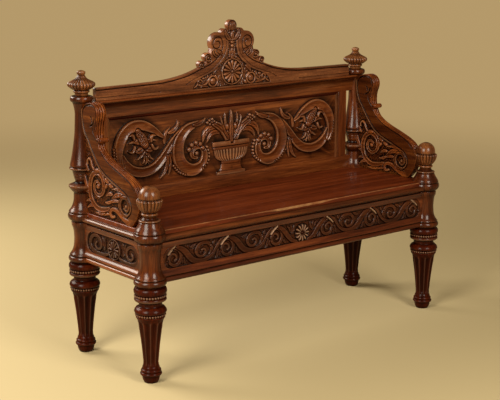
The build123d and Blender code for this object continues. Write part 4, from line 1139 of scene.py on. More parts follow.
# Back panel: an urn between cornucopias, with a leaf scroll and a flower roundel at each side.
# Here and below a band is (points with half widths, height, form), a groove (points, half width, depth),
# a leaf (base, tip, half width, height, bend, lobes, form), a dot (centre, radius, height, flatness, turn).
panelValues = {
    "depth": 10.0,
    "softness": 0.7,
    "urn": [
        (505, 62), (514, 62), (517, 50), (526, 44), (543, 40), (545, 43), (551, 43), (553, 48), (557, 57),
        (563, 64), (572, 69), (592, 74), (594, 77), (600, 77), (602, 75), (604, 81), (618, 81), (620, 76),
    ],
    "urnHeight": 11.5,
    "urnLevels": [(517, 1.0), (543, 0.72), (552, 0.95), (601, 0.86), (604, 0.66)],
    "urnRimLevel": 1.08,
    "bowl": (553, 592),
    "bowlLevel": 0.98,
    "bowlLobes": 8,
    "ring": ([
        (203, 684, 5), (236, 656, 9), (266, 619, 13), (292, 587, 16), (326, 562, 17), (368, 554, 17),
        (408, 564, 17), (436, 588, 15), (448, 612, 10),
    ], 11, "hollow"),
    "hood": ([
        (448, 578, 8), (460, 606, 14), (460, 642, 19), (444, 678, 21), (412, 704, 20), (372, 708, 18),
        (334, 694, 14), (304, 674, 9), (280, 656, 3),
    ], 11.5, "hood"),
    "flower": (358, 640),
    "petals": [
        ((344, 578), 12, 0.05), ((368, 580), 10, -0.12), ((322, 590), 9, 0.15), ((392, 596), 9, -0.15),
        ((318, 626), 12, 0.2), ((406, 628), 13, -0.2), ((422, 652), 11, 0.15), ((312, 652), 9, -0.2),
    ],
    "petalHeight": 9.5,
    "petalLobes": 2,
    "curledLeaves": [
        ((330, 640), (304, 632), 7, 0.4), ((334, 652), (312, 668), 7, -0.4),
        ((398, 640), (424, 628), 7, -0.4), ((400, 664), (424, 674), 7, 0.4),
        ((346, 606), (336, 584), 5, 0.3), ((356, 604), (360, 578), 5, -0.2),
    ],
    "curlHeight": 10.5,
    "pod": [(386, 690, 9), (379, 680, 13), (370, 668, 16), (362, 654, 17), (356, 642, 14)],
    "podHeight": 12,
    "ringLeaves": [
        ((258, 604), (249, 556), 6, 7.5, 0.1), ((262, 600), (264, 532), 7, 8, -0.08),
        ((268, 596), (300, 524), 8, 8, -0.15), ((252, 606), (238, 578), 5, 7, 0.1),
        ((262, 672), (224, 709), 9, 9, 0.2), ((280, 640), (256, 690), 6, 7.5, -0.15),
    ],
    "scroll": ([
        (116, 699, 4), (150, 691, 10), (185, 680, 16), (212, 655, 20), (226, 620, 23), (222, 580, 24),
        (200, 550, 24), (165, 537, 22), (132, 548, 17), (117, 575, 13), (120, 600, 10), (137, 613, 8.5),
        (157, 610, 7.5), (169, 595, 6.5), (164, 580, 6), (150, 577, 5),
    ], 11.5, "hollow"),
    "scrollEye": ((148, 591), 8, 10),
    "scrollLeaf": ((160, 688), (110, 708), 9, 9, 0.12),
    "innerBeads": ([(122, 538), (102, 556), (96, 582), (104, 608)], 5.2, 8.5),
    "berryArc": ((150, 596), 30),
    "berryTurns": (20, 55, 90, 125, 160),
    "berrySize": (8.5, 9.5),
    "outerBeads": [
        ([(196, 524), (222, 537), (244, 560)], 5.0, 8.5),
        ([(462, 575), (474, 605), (478, 640)], 4.6, 8),
    ],
    "hornLeaves": [((60, 668), (122, 624), 12, 9, 0.28, 0, "veined"), ((52, 652), (104, 622), 10, 8, 0.25)],
    "horn": ([(16, 620, 9), (27, 646, 13), (47, 668, 14), (74, 684, 11)], 10.5, "reeded"),
    "fruit": [(74, 692), (84, 690), (92, 684), (82, 700), (94, 696), (102, 690)],
    "fruitSize": (5.5, 9),
    "urnLeaves": [((5, 622), (26, 714), 7, 8.5, -0.08), ((5, 622), (44, 704), 6, 8.5, -0.08)],
    "urnBud": ((18, 668), 8, 9.5, 1.5),
    "middleLeaf": ((0, 618), (0, 724), 10, 11, 0, 0, "veined"),
}


def carvePanel(values):
    low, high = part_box("back_panel")
    relief = Relief(0, high.x / mm, low.z / mm, high.z / mm, fineness["carvingStep"])
    relief.band(*values["ring"])
    relief.band(*values["hood"])
    for tip, wide, bend in values["petals"]:
        relief.leaf(values["flower"], tip, wide, values["petalHeight"], bend, values["petalLobes"])
    for base, tip, wide, bend in values["curledLeaves"]:
        relief.leaf(base, tip, wide, values["curlHeight"], bend, 0, "round")
    carvePod(relief, values["pod"], values["podHeight"])
    cutEach(relief.leaf, values["ringLeaves"])
    relief.band(*values["scroll"])
    relief.dot(*values["scrollEye"])
    relief.leaf(*values["scrollLeaf"])
    relief.beadRow(*values["innerBeads"])
    (x, z), far = values["berryArc"]
    for turn in values["berryTurns"]:
        angle = math.radians(turn)
        relief.dot((x + far * math.cos(angle), z + far * math.sin(angle)), *values["berrySize"])
    cutEach(relief.beadRow, values["outerBeads"])
    cutEach(relief.leaf, values["hornLeaves"])
    relief.band(*values["horn"])
    for place in values["fruit"]:
        relief.dot(place, *values["fruitSize"])
    cutEach(relief.leaf, values["urnLeaves"])
    relief.dot(*values["urnBud"])
    carveUrn(relief, values)
    relief.leaf(*values["middleLeaf"])
    relief.soften(values["softness"])
    relief.mirrored()
    panel = carvedSheet(relief)
    closeBack(panel, values["depth"])
    lighten(panel, fineness["triangleLimit"])
    writePoints(panel, readPoints(panel) + np.array([0, low.y, 0]))
    return panel


seedValues = {"across": (-0.72, -0.36, 0, 0.36, 0.72), "along": (0.0, 0.5), "radius": 2.7, "rise": 1.2}


def carvePod(relief, line, height):
    # long seed pod with rows of small seeds
    relief.band(line, height, "round", 2.4, 0.4)
    for across in seedValues["across"]:
        tall = height * math.sqrt(1 - across**2) + seedValues["rise"]
        for (x, z, radius), (nextX, nextZ, nextRadius) in zip(line[:-1], line[1:]):
            lean = math.atan2(nextZ - z, nextX - x) + math.pi / 2
            for share in seedValues["along"]:
                wide = (radius + (nextRadius - radius) * share) * across
                seedX = x + (nextX - x) * share + wide * math.cos(lean)
                seedZ = z + (nextZ - z) * share + wide * math.sin(lean)
                relief.dot((seedX, seedZ), seedValues["radius"], tall, trench=0.4)


def carveUrn(relief, values):
    levels, widths = zip(*values["urn"])
    half = np.interp(relief.gridV, levels, widths)
    q = np.abs(relief.gridU) / half
    inside = (q < 1) & (relief.gridV >= levels[0]) & (relief.gridV <= levels[-1])
    swell = 0.35 + 0.65 * np.sqrt(np.clip(1 - q**2, 0, 1))
    bowlLow, bowlHigh = values["bowl"]
    bowl = (relief.gridV > bowlLow) & (relief.gridV < bowlHigh)
    turn = np.arcsin(np.clip(q, 0, 1)) / (math.pi / 2)
    lobe = 0.70 + 0.30 * np.abs(np.cos(math.pi * (turn * values["bowlLobes"] + 0.5)))
    below = [relief.gridV < top for top, share in values["urnLevels"]]
    level = np.select(below, [share for top, share in values["urnLevels"]], values["urnRimLevel"])
    level = np.where(bowl, values["bowlLevel"], level)
    height = values["urnHeight"] * swell * level * np.where(bowl, lobe, 1)
    near = (np.abs(relief.gridU) < half + 2) & (relief.gridV <= levels[-1] + 2)
    relief.height = np.where(near, relief.height * 0.3, relief.height)
    relief.height = np.where(inside, height, relief.height)
    # painted highlights on the lobes of the bowl
    relief.paintedHighlight = np.where(inside & bowl, np.clip((lobe - 0.86) * 3.2, 0, 0.42), relief.paintedHighlight)


finishPiece(carvePanel(panelValues), "carved_back_panel", ["back_panel"], woodAcross)
print("stage: back panel carved")

# Rails: the sunk field, the gap under the seat moulding with its painted shadow and the fillet with its
# painted highlight are the same on all three
railFieldValues = {
    "fieldLow": 338.0,
    "fieldHigh": 405.0,
    "fieldDepth": 8.0,
    "gap": (421.5, 429.0),
    "gapDepth": 3.5,
    "filletLow": 408.0,
    "filletHigh": 420.5,
    "filletHighlight": 0.05,
    "softness": 0.55,
}


def fieldOutline(end, low, high):
    # field with round ends
    radius = (high - low) / 2
    middle = (high + low) / 2
    corners = []
    for turn in np.linspace(-90, 90, 25):
        angle = math.radians(turn)
        corners.append((end - radius + radius * math.cos(angle), middle + radius * math.sin(angle)))
    return corners + [(-x, z) for x, z in corners[::-1]]


def finishField(relief, values):
    # painted shade over the sunk field and none on the raised border round it, the gap cut and given a
    # painted shadow, and a painted highlight on the fillet below the gap
    relief.contrast = values["contrast"]
    relief.darken(*values["darken"])
    field = fieldOutline(values["fieldEnd"], values["fieldLow"], values["fieldHigh"])
    inField = polygonGap(field, relief.gridU, relief.gridV)[0] > 0
    relief.shade = np.where(inField, relief.shade + values["fieldShade"], 0)
    relief.plateau(field, values["fieldDepth"], True)
    low, high = values["gap"]
    inGap = (relief.gridV > low) & (relief.gridV < high)
    relief.height = np.where(inGap, relief.height - values["gapDepth"], relief.height)
    relief.shade = np.where(inGap, 1.0, relief.shade)
    onFillet = (relief.gridV > values["filletLow"]) & (relief.gridV < values["filletHigh"])
    relief.paintedHighlight = np.where(onFillet, values["filletHighlight"], relief.paintedHighlight)
    relief.soften(values["softness"])


def carveRosette(relief, values):
    relief.dot(values["rosette"], *values["rosetteGround"])
    relief.spokes(values["rosette"], *values["rosettePetals"])
    relief.dot(values["rosette"], *values["rosetteEye"])


def shifted(points, away):
    return [(point[0] + away, *point[1:]) for point in points]


# Front rail: running leaf scroll with a rosette in the middle. The scroll is given from each crest.
frontRailValues = {
    **railFieldValues,
    "halfLength": 562.0,
    "fieldEnd": 552.0,
    "groundRise": 2.4,
    "stipple": (3, 1.1, 1.0),
    "crests": [515, 315],
    "lastCrest": 115,
    "waveLeaves": [
        ((-170, 368), (-158, 341), 7, 6.5, -0.15, 2), ((-180, 362), (-184, 343), 5, 6, 0.15),
        ((-66, 392), (-88, 403), 6, 7, 0.1), ((-40, 362), (-52, 343), 6, 6.5, 0.2),
        ((-30, 366), (-34, 345), 5, 6.5, -0.1), ((-152, 390), (-158, 402), 4.5, 6.5, 0.1),
    ],
    "bigCurl": [
        (-115, 345, 5.5), (-137, 355, 6), (-145, 375, 6), (-135, 393, 6), (-115, 399, 6), (-94, 392, 5.6),
        (-86, 375, 5.2), (-96, 360, 4.8), (-112, 358, 4.4), (-122, 368, 4), (-117, 379, 3.6), (-108, 377, 3),
    ],
    "bigCurlEye": ((-142, 386), 4, 8),
    "smallCurl": [
        (3, 399, 5), (-18, 393, 5.6), (-29, 375, 5.6), (-24, 355, 5.6), (-7, 346, 5.4), (10, 353, 5),
        (16, 370, 4.6), (5, 382, 4.2), (-9, 377, 3.8), (-12, 366, 3.2), (-5, 362, 2.6),
    ],
    "curlHeight": 7.8,
    "wave": [
        (-10, 403, 5), (-32, 392, 9), (-49, 378, 10.5), (-62, 362, 10.5), (-77, 350, 9.5), (-100, 344, 8),
        (-125, 346, 6.5), (-147, 358, 5.5), (-163, 376, 5), (-175, 392, 5), (-190, 402, 4),
    ],
    "lastWave": [(105, 403, 5), (88, 393, 8), (72, 378, 9), (58, 362, 8.5), (44, 349, 7), (24, 341, 5)],
    "waveHeight": 8,
    "ridge": [(19, 382, 2.6), (8, 393, 3.6), (-8, 404, 2.8)],
    "ridgeHeight": 10.2,
    "ridgeHighlight": 0.7,
    "ridgeLeaf": ((20, 362), (24, 344), 4.5, 6.5, 0.15),
    "endCurl": [(-4, 402, 4), (16, 397, 5), (29, 383, 5), (33, 366, 4.4), (26, 350, 4)],
    "endLeaf": ((20, 356), (34, 346), 4, 6.5, 0.1),
    "middleLeaves": [
        ((46, 372), (66, 398), 5, 6.8, 0.1), ((46, 372), (50, 402), 5, 6.8, 0.1),
        ((46, 372), (34, 399), 5, 6.8, 0.1), ((78, 356), (66, 342), 5, 6.5, 0.1),
    ],
    "rosette": (0, 367),
    "rosetteGround": (30, 2.0),
    "rosettePetals": (4, 28, 12, 5.0, 9.4),
    "rosetteEye": (4.5, 7),
    "petalHighlights": 12,
    "petalHighlightFrom": 12,
    "petalHighlightTo": 26,
    "petalHighlightHalf": 2.2,
    "petalHighlight": 0.5,
    "contrast": 0.5,
    "darken": (5, 0.2),
    "fieldShade": 0.46,
}


def carveFrontRail(values):
    low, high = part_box("front_rail")
    relief = Relief(0, values["halfLength"], low.z / mm, high.z / mm, fineness["carvingStep"])
    relief.height += values["groundRise"]
    relief.stipple(*values["stipple"])
    crests = values["crests"]
    allCrests = crests + [values["lastCrest"]]

    def leafAt(x, leaf):
        relief.leaf(*shifted(leaf[:2], x), *leaf[2:])

    for x in crests:
        for leaf in values["waveLeaves"]:
            leafAt(x, leaf)
        relief.band(shifted(values["bigCurl"], x), values["curlHeight"], "strap")
        relief.dot(*shifted(values["bigCurlEye"][:1], x), *values["bigCurlEye"][1:])
    for x in allCrests:
        relief.band(shifted(values["smallCurl"], x), values["curlHeight"], "strap")
    for x in crests:
        relief.band(shifted(values["wave"], x), values["waveHeight"], "strap")
    relief.band(values["lastWave"], values["waveHeight"], "strap")
    for x in allCrests:
        ridge = shifted(values["ridge"], x)
        relief.band(ridge, values["ridgeHeight"], "round")
        # painted highlight along each ridge
        relief.paintHighlight(ridge, values["ridgeHighlight"])
        leafAt(x, values["ridgeLeaf"])
    relief.band(shifted(values["endCurl"], crests[0]), values["curlHeight"], "strap")
    leafAt(crests[0], values["endLeaf"])
    cutEach(relief.leaf, values["middleLeaves"])
    carveRosette(relief, values)
    x, z = values["rosette"]
    # painted highlights along the rosette's petals
    for turn in np.arange(values["petalHighlights"]) * math.tau / values["petalHighlights"] + math.pi / 2:
        ends = []
        for far in (values["petalHighlightFrom"], values["petalHighlightTo"]):
            ends.append((x + far * math.cos(turn), z + far * math.sin(turn), values["petalHighlightHalf"]))
        relief.paintHighlight(ends, values["petalHighlight"])
    finishField(relief, values)
    relief.mirrored()
    rail = carvedSheet(relief)
    closeBack(rail, (high.y - low.y) / mm - values["fieldDepth"])
    lighten(rail, fineness["triangleLimit"])
    writePoints(rail, readPoints(rail) + np.array([0, low.y + values["fieldDepth"] * mm, 0]))
    return rail


frontRail = carveFrontRail(frontRailValues)
finishPiece(frontRail, "carved_front_rail", ["front_rail"], frontRailWood)

# Side rails: a rosette between two scrolls. Scroll and leaves are given from the rosette's middle.
sideRailValues = {
    **railFieldValues,
    "halfLength": 156.0,
    "fieldEnd": 140.0,
    "groundRise": 1.6,
    "stipple": (5, 1.1, 1.0),
    "leaves": [
        ((52, 364), (46, 402), 8, 7, -0.15), ((58, 372), (66, 402), 6, 7, 0.1),
        ((112, 394), (130, 402), 5, 7, 0.1), ((124, 356), (134, 346), 4.5, 7, 0.1),
    ],
    "scroll": [
        (32, 350, 4), (58, 343, 7.5), (92, 343, 8), (120, 352, 7.5), (131, 370, 7), (121, 390, 6.5),
        (98, 398, 6), (76, 390, 5.5), (68, 373, 5), (77, 359, 4.5), (93, 357, 4), (102, 367, 3.6),
        (96, 377, 3),
    ],
    "scrollHeight": 8,
    "rosette": (-8.0, 371),
    "rosetteGround": (31, 1.5),
    "rosettePetals": (5, 28, 12, 5.0, 8.8),
    "rosetteEye": (5.5, 7),
    "rosetteRim": (31, 31, 0, 360, 2.4, 2.4),
    "rosetteRimHeight": 8,
    "contrast": 0.55,
    "darken": (5, 0.22),
    "fieldShade": 0.5,
}


def carveSideRail(values):
    low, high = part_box("right_side_rail")
    half = values["halfLength"]
    relief = Relief(-half, half, low.z / mm, high.z / mm, fineness["carvingStep"])
    relief.height += values["groundRise"]
    relief.stipple(*values["stipple"])
    middle = values["rosette"][0]
    for way in (-1, 1):
        for base, tip, wide, tall, bend in values["leaves"]:
            ends = [(middle + way * u, v) for u, v in (base, tip)]
            relief.leaf(*ends, wide, tall, bend * way)
        scroll = [(middle + way * u, v, wide) for u, v, wide in values["scroll"]]
        relief.band(scroll, values["scrollHeight"], "strap")
    carveRosette(relief, values)
    rim = spiralPoints(values["rosette"], *values["rosetteRim"])
    relief.band(rim, values["rosetteRimHeight"], "round")
    finishField(relief, values)
    rail = carvedSheet(relief)
    closeBack(rail, (high.x - low.x) / mm - values["fieldDepth"])
    lighten(rail, fineness["triangleLimit"] // 2)
    turnSheet(rail, high.x / mm - values["fieldDepth"])
    return rail


sideRail = carveSideRail(sideRailValues)
sideTwin = mirrorCopy(sideRail)
finishPiece(sideRail, "carved_right_rail", ["right_side_rail"], sideRailWood)
finishPiece(sideTwin, "carved_left_rail", ["left_side_rail"], sideRailWood)
print("stage: rails carved")

# Crest: leaf scrolls that climb to a bud, over a rosette with sprays.
# The pieces of the face are given by their rise over it, all others by their height over the ground.
crestValues = {
    "thickness": 22.0,
    "groundDepth": 7.0,
    "edge": 1.6,
    "softness": 0.6,
    "outline": [
        (0, 802), (545, 802), (545, 843), (400, 844), (320, 845.2), (280, 847.4), (250, 850.4),
        (225, 854.2), (200, 859), (180, 864), (160, 870), (140, 877), (118, 886), (93, 918), (88, 940),
        (60, 975), (30, 998), (0, 998),
    ],
    "scrolls": [(129, 888, 12.5), (103, 910, 15.5), (59, 957, 34.5), (33, 987, 16), (0, 1011.5, 19.5)],
    "ground": [
        (0, 808), (168, 808), (165, 818), (158, 828), (146, 838), (126, 847), (100, 856), (80, 864),
        (62, 877), (40, 894), (25, 912), (18, 938), (18, 962), (24, 980), (20, 998), (0, 1000), (-5, 900),
    ],
    "groundRise": 1.0,
    "stipple": (7, 1.2, 1.4),
    "darken": (3, 0.35),
    "lowLeaves": [((62, 872), (80, 850), 7, 6, 0.15), ((104, 850), (96, 836), 5, 5.5, 0.1)],
    "curl": ([
        (88, 852, 3), (98, 840, 4), (107, 826, 4.4), (124, 818, 4.4), (142, 821, 4), (147, 832, 3.6),
        (137, 839, 3.2), (128, 833, 2.6),
    ], 6.6, "round"),
    "curlBud": ((122, 842), 6, 6.4, 0.7),
    "curlTip": ([(146, 826, 3), (154, 817, 3.4), (162, 813, 3)], 6.2, "round"),
    "flowerRing": (spiralPoints((83, 830), 20, 16, 120, 400, 4, 3), 6.6, "round"),
    "flower": ((82, 829), 11.5, 7.6),
    "flowerLeaves": [((58, 822), (66, 811), 5, 6, -0.2), ((104, 812), (138, 811), 3.5, 5.5, 0.1)],
    "rosetteRim": (spiralPoints((0, 856), 43, 43, -90, 180, 2.6, 2.6), 6.4, "round"),
    "rosette": (0, 856),
    "rosetteGround": (40, 2.6),
    "rosettePetals": (6, 39, 14, 6.2, 7.6),
    "rosetteEye": (6, 7.6),
    "middleLeaves": [((0, 904), (0, 938), 10, 7, 0, 0, "veined"), ((12, 906), (12, 936), 4, 5.5, 0.1)],
    "middleBeads": [((0, 944), 6, 8), ((0, 957), 6.5, 8.4)],
    "topLeaf": ((0, 964), (0, 996), 8, 8, 0),
    "strapLine": [
        (545, 836), (420, 837), (320, 838), (280, 840), (240, 845), (200, 852), (170, 860), (140, 871),
        (110, 881), (85, 892), (65, 906), (50, 923), (42, 942), (43, 960), (52, 973), (66, 976), (79, 968),
        (84, 955), (80, 943), (68, 937), (57, 942), (54, 953), (60, 962), (69, 961),
    ],
    "strapGroove": (1.8, 3.2),
    "strapShadeAndGrime": (1.8, 0.7),
    "fineGrooves": [
        ([
            (196, 826), (178, 836), (156, 845), (120, 856), (92, 867), (72, 880), (48, 900), (33, 920),
            (26, 944), (27, 964), (34, 978),
        ], 1.3, 1.4),
        ([(545, 812), (420, 812), (300, 812)], 1.3, 1.4),
    ],
    "neckLeaf": ((47, 918), (70, 930), 6, 0.6, 0.12),
    "neckCurl": ([(66, 910, 3), (78, 918, 4), (83, 932, 3.4), (80, 940, 2)], 0.6),
    "volutes": [
        ((103, 909), (11.5, 5, 235, 330, 4, 3), 5.5, 1),
        ((129, 887), (9, 4, 235, 320, 3.4, 2.4), 4.6, 0.8),
    ],
    "budLeaf": ((10, 966), (30, 1000), 9, 1, -0.12),
    "bud": ((0, 1011), 17.5, 4),
    "budGrooves": (0, 7, 13),
    "budGrooveShares": [(0.3, 1029), (1, 1012), (0.45, 994)],
    "budGrooveSize": (1.4, 2.2),
}


def carveCrest(values):
    low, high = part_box("crest_board")
    relief = Relief(0, high.x / mm + 2, low.z / mm, high.z / mm + 2, fineness["carvingStep"])
    face = values["groundDepth"]
    relief.height += values["groundRise"]
    relief.stipple(*values["stipple"])
    cutEach(relief.leaf, values["lowLeaves"])
    relief.band(*values["curl"])
    relief.dot(*values["curlBud"])
    relief.band(*values["curlTip"])
    relief.band(*values["flowerRing"])
    relief.dot(*values["flower"])
    cutEach(relief.leaf, values["flowerLeaves"])
    relief.band(*values["rosetteRim"])
    carveRosette(relief, values)
    cutEach(relief.leaf, values["middleLeaves"])
    cutEach(relief.dot, values["middleBeads"])
    relief.leaf(*values["topLeaf"])
    relief.darken(*values["darken"])
    relief.plateau(values["ground"], face, True)
    relief.groove(values["strapLine"], *values["strapGroove"])
    relief.stain(values["strapLine"], *values["strapShadeAndGrime"])
    cutEach(relief.groove, values["fineGrooves"])

    def leafOnFace(base, tip, wide, rise, bend):
        relief.leaf(base, tip, wide, face + rise, bend)

    leafOnFace(*values["neckLeaf"])
    points, rise = values["neckCurl"]
    relief.band(points, face + rise, "round")
    for centre, spiral, eye, rise in values["volutes"]:
        relief.band(spiralPoints(centre, *spiral), face + rise, "round")
        relief.dot(centre, eye, face + rise)
    leafOnFace(*values["budLeaf"])
    centre, radius, rise = values["bud"]
    relief.dot(centre, radius, face + rise)
    for away in values["budGrooves"]:
        relief.groove([(away * share, z) for share, z in values["budGrooveShares"]], *values["budGrooveSize"])
    relief.soften(values["softness"])
    relief.mirrored()
    corners = values["outline"]
    ring = corners[1:] + [(-x, z) for x, z in corners[::-1][1:-1]]
    circles = values["scrolls"] + [(-x, z, r) for x, z, r in values["scrolls"][:-1]]
    inset = values["edge"]

    def outline(u, v):
        gap, slopeU, slopeV = joinedGap(ring, circles, u, v)
        return gap - inset, slopeU, slopeV

    rows = edgeRows(values["thickness"], 0, 0, inset)
    groundGap = values["thickness"] - values["groundDepth"]
    board = outlineBoard(relief, outline, groundGap, False, rows, lambda u, v: u * 0)
    lighten(board, fineness["triangleLimit"])
    writePoints(board, readPoints(board) + np.array([0, low.y + values["groundDepth"] * mm, 0]))
    return board


finishPiece(carveCrest(crestValues), "carved_crest", ["crest_board"], crestWood)
print("stage: crest carved")

# Arms: a broad S-shaped band with a scroll at the top, leaf scrolls under it, reeds along the edge
armValues = {
    "outerFace": 603.5,
    "thickness": 27.0,
    "groundDepth": 6.3,
    "edge": 1.8,
    "reeds": 3,
    "reedDepth": 5.0,
    "reedLow": 476,
    "reedEnd": 128,
    "field": (-148, 164, 460, 812),
    "stepShare": 1.05,
    "softness": 0.6,
    "stipple": (11, 1.2, 1.0),
    "contrast": 1.5,
    "darken": (3, 0.6),
    "scrollSwell": 3.7,
    "swellFrom": 688,
    "swellSpan": 28,
    "slope": [
        (-105, 460), (-118, 472), (-136, 497), (-144.5, 528), (-140, 555), (-127, 580), (-97, 599),
        (-50, 617), (0, 634), (33, 649), (58, 668), (69, 686), (77, 703), (80, 722), (75, 748), (67, 776),
        (73, 796), (88, 807), (105, 810), (130, 805), (147, 791),
    ],
    "rear": [(162, 783), (162, 460)],
    "ground": [
        (157, 790), (157, 770), (153, 738), (144, 711), (127, 681), (107, 653), (87, 629), (64, 607),
        (34, 590), (4, 578), (-19, 570), (-46, 560), (-70, 550), (-86, 539), (-97, 523), (-97, 509),
        (-89, 498), (-78, 490), (-92, 474), (-70, 455), (170, 455), (170, 790),
    ],
    "rearLeaves": [((136, 540), (154, 596), 8, 5.5, -0.12), ((132, 596), (154, 636), 7, 5.5, -0.12)],
    "seeds": [
        ((8, 566), 13, 6.2, 7 / 13, math.radians(20)), ((30, 578), 13, 6.2, 7 / 13, math.radians(28)),
        ((34, 560), 11, 6.2, 6 / 11, math.radians(-50)), ((55, 592), 12, 6.2, 7 / 12, math.radians(24)),
    ],
    "leaves": [
        ((-70, 549), (4, 556), 6, 6, 0.1), ((-58, 545), (8, 514), 9, 6.4, 0.16, 0, "veined"),
        ((-36, 524), (24, 506), 6, 6, 0.1), ((0, 540), (32, 530), 7, 6, 0.12),
        ((4, 520), (40, 512), 6, 6, -0.12), ((106, 498), (146, 494), 7, 6, 0.18),
        ((92, 488), (140, 474), 7, 6, 0.14), ((124, 522), (154, 528), 6, 6, 0.16),
        ((20, 490), (96, 470), 9, 6, -0.10, 0, "veined"), ((16, 476), (46, 466), 4.5, 5.5, 0.1),
    ],
    "spiral": ([
        (18, 494, 5), (44, 486, 8), (76, 484, 9), (104, 498, 9.5), (120, 524, 9.5), (121, 556, 9),
        (108, 584, 9), (82, 597, 9), (56, 587, 8), (44, 562, 7), (52, 537, 6.4), (74, 526, 6),
        (95, 537, 5.4), (97, 558, 5), (84, 569, 4.6), (69, 562, 4),
    ], 6.3, "hollow"),
    "spiralDots": [((78, 553), 8, 6.4), ((84, 600), 17, 6.8, 0.5, math.radians(-8))],
    "sprig": ([
        (134, 616, 2.4), (135, 626, 3.6), (126, 634, 4.2), (115, 629, 4.4), (109, 615, 4.6), (100, 603, 5),
    ], 6.2, "round"),
    "tail": [
        (-112, 476, 7), (-92, 470, 9), (-68, 474, 9), (-45, 485, 8), (-22, 495, 7), (0, 495, 6),
        (10, 483, 5.4), (2, 472, 5), (-11, 474, 4.5),
    ],
    "volute": [
        (-78, 487, 6), (-58, 490, 6.4), (-44, 504, 6.4), (-42, 523, 6.2), (-54, 539, 6), (-73, 542, 5.6),
        (-87, 530, 5.2), (-88, 513, 4.8), (-77, 503, 4.4), (-66, 509, 4),
    ],
    "voluteRise": 0.2,
    "voluteEye": ((-75, 515), 7),
    "voluteEyeRise": 0.6,
    "strapLine": [
        (108, 803), (128, 799), (144, 787), (150, 770), (147, 742), (137, 714), (120, 685), (100, 658),
        (80, 634), (59, 614), (30, 597), (0, 585), (-22, 577), (-50, 567), (-75, 557), (-92, 545),
        (-104, 525), (-104, 507), (-95, 493), (-80, 484),
    ],
    "strapGroove": (2.3, 3.2),
    "strapShadeAndGrime": (2.6, 0.9),
    "scrollGrooves": [
        ([(58, 679), (73, 692), (86, 708), (93, 722), (95, 734)], 1.5, 2.4),
        ([(84, 762), (90, 750), (98, 742), (107, 738)], 2.6, 4.0),
        ([(97, 752), (99, 762), (105, 767)], 2.4, 3.6),
        ([(80, 732), (76, 752), (74, 776), (82, 796), (98, 803), (108, 803)], 1.3, 1.6),
    ],
    "edgeLine": [(-122, 570), (-104, 587), (-76, 601), (-40, 614), (4, 630), (36, 647), (58, 664)],
    "edgeGroove": (1.4, 1.8),
    "edgeShadeAndGrime": (2.0, 0.8),
}


def carveArm(values):
    relief = Relief(*values["field"], fineness["carvingStep"] * values["stepShare"])
    face = values["groundDepth"]
    relief.stipple(*values["stipple"])
    cutEach(relief.leaf, values["rearLeaves"])
    cutEach(relief.dot, values["seeds"])
    cutEach(relief.leaf, values["leaves"])
    relief.band(*values["spiral"])
    cutEach(relief.dot, values["spiralDots"])
    relief.band(*values["sprig"])
    relief.band(values["tail"], face, "strap")
    relief.contrast = values["contrast"]
    relief.darken(*values["darken"])
    relief.plateau(values["ground"], face, True)
    relief.band(values["volute"], face + values["voluteRise"], "strap")
    relief.dot(*values["voluteEye"], face + values["voluteEyeRise"])
    relief.groove(values["strapLine"], *values["strapGroove"])
    relief.stain(values["strapLine"], *values["strapShadeAndGrime"])
    cutEach(relief.groove, values["scrollGrooves"])
    relief.groove(values["edgeLine"], *values["edgeGroove"])
    relief.stain(values["edgeLine"], *values["edgeShadeAndGrime"])
    swell = np.clip((relief.gridV - values["swellFrom"]) / values["swellSpan"], 0, 1)
    relief.height = relief.height + values["scrollSwell"] * swell * swell * (3 - 2 * swell)
    relief.soften(values["softness"])
    corners = [(p[0], p[1]) for p in smoothLine([(*p, 1) for p in values["slope"]], 4.0)] + values["rear"]
    inset = values["edge"]

    def outline(u, v):
        gap, slopeU, slopeV = polygonGap(corners, u, v)
        return gap - inset, slopeU, slopeV

    def reedShare(u, v):
        # only along the open front and top edge, not at the seat or the post
        return np.clip((v - values["reedLow"]) / 10, 0, 1) * np.clip((values["reedEnd"] - u) / 20, 0, 1)

    rows = edgeRows(values["thickness"], values["reeds"], values["reedDepth"], inset)
    groundGap = values["thickness"] - 2 * values["groundDepth"]
    board = outlineBoard(relief, outline, groundGap, True, rows, reedShare)
    lighten(board, fineness["triangleLimit"])
    turnSheet(board, values["outerFace"] - values["groundDepth"])
    return board


rollValues = {"place": (590.0, 65.0, 697.0), "radius": 8.8, "length": 40.0}


def addRoll(arm, values):
    # small turned roll across the neck of the arm
    half = values["length"] / 2
    radius = values["radius"]
    ends = [(2.5, radius - 0.8, radius - 1.2), (0.8, radius - 2.6), (1.2, radius - 2.6), (0.8, radius - 0.6)]
    ends.append((half - 5.3, radius))
    back = [(half - 5.3, radius - 0.6), (0.8, radius - 2.6), (1.2, radius - 2.6), (0.8, radius - 0.8)]
    profile = turnedProfile(-half, radius - 2.5, ends + back + [(2.5, radius - 2.5, radius - 1.2)], 0.4)
    roll = spinProfile(profile, 40)
    turnedMasks(roll, profile)
    editAll()
    bpy.ops.transform.rotate(value=math.pi / 2, orient_axis="Y", center_override=(0, 0, 0))
    bpy.ops.transform.translate(value=[part * mm for part in values["place"]])
    bpy.ops.object.mode_set(mode="OBJECT")
    joinTo(arm, roll)
    return arm


rightArm = addRoll(carveArm(armValues), rollValues)
leftArm = mirrorCopy(rightArm)
finishPiece(rightArm, "carved_right_arm", ["right_arm"], armWood)
finishPiece(leftArm, "carved_left_arm", ["left_arm"], armWood)
print("stage: arms carved")


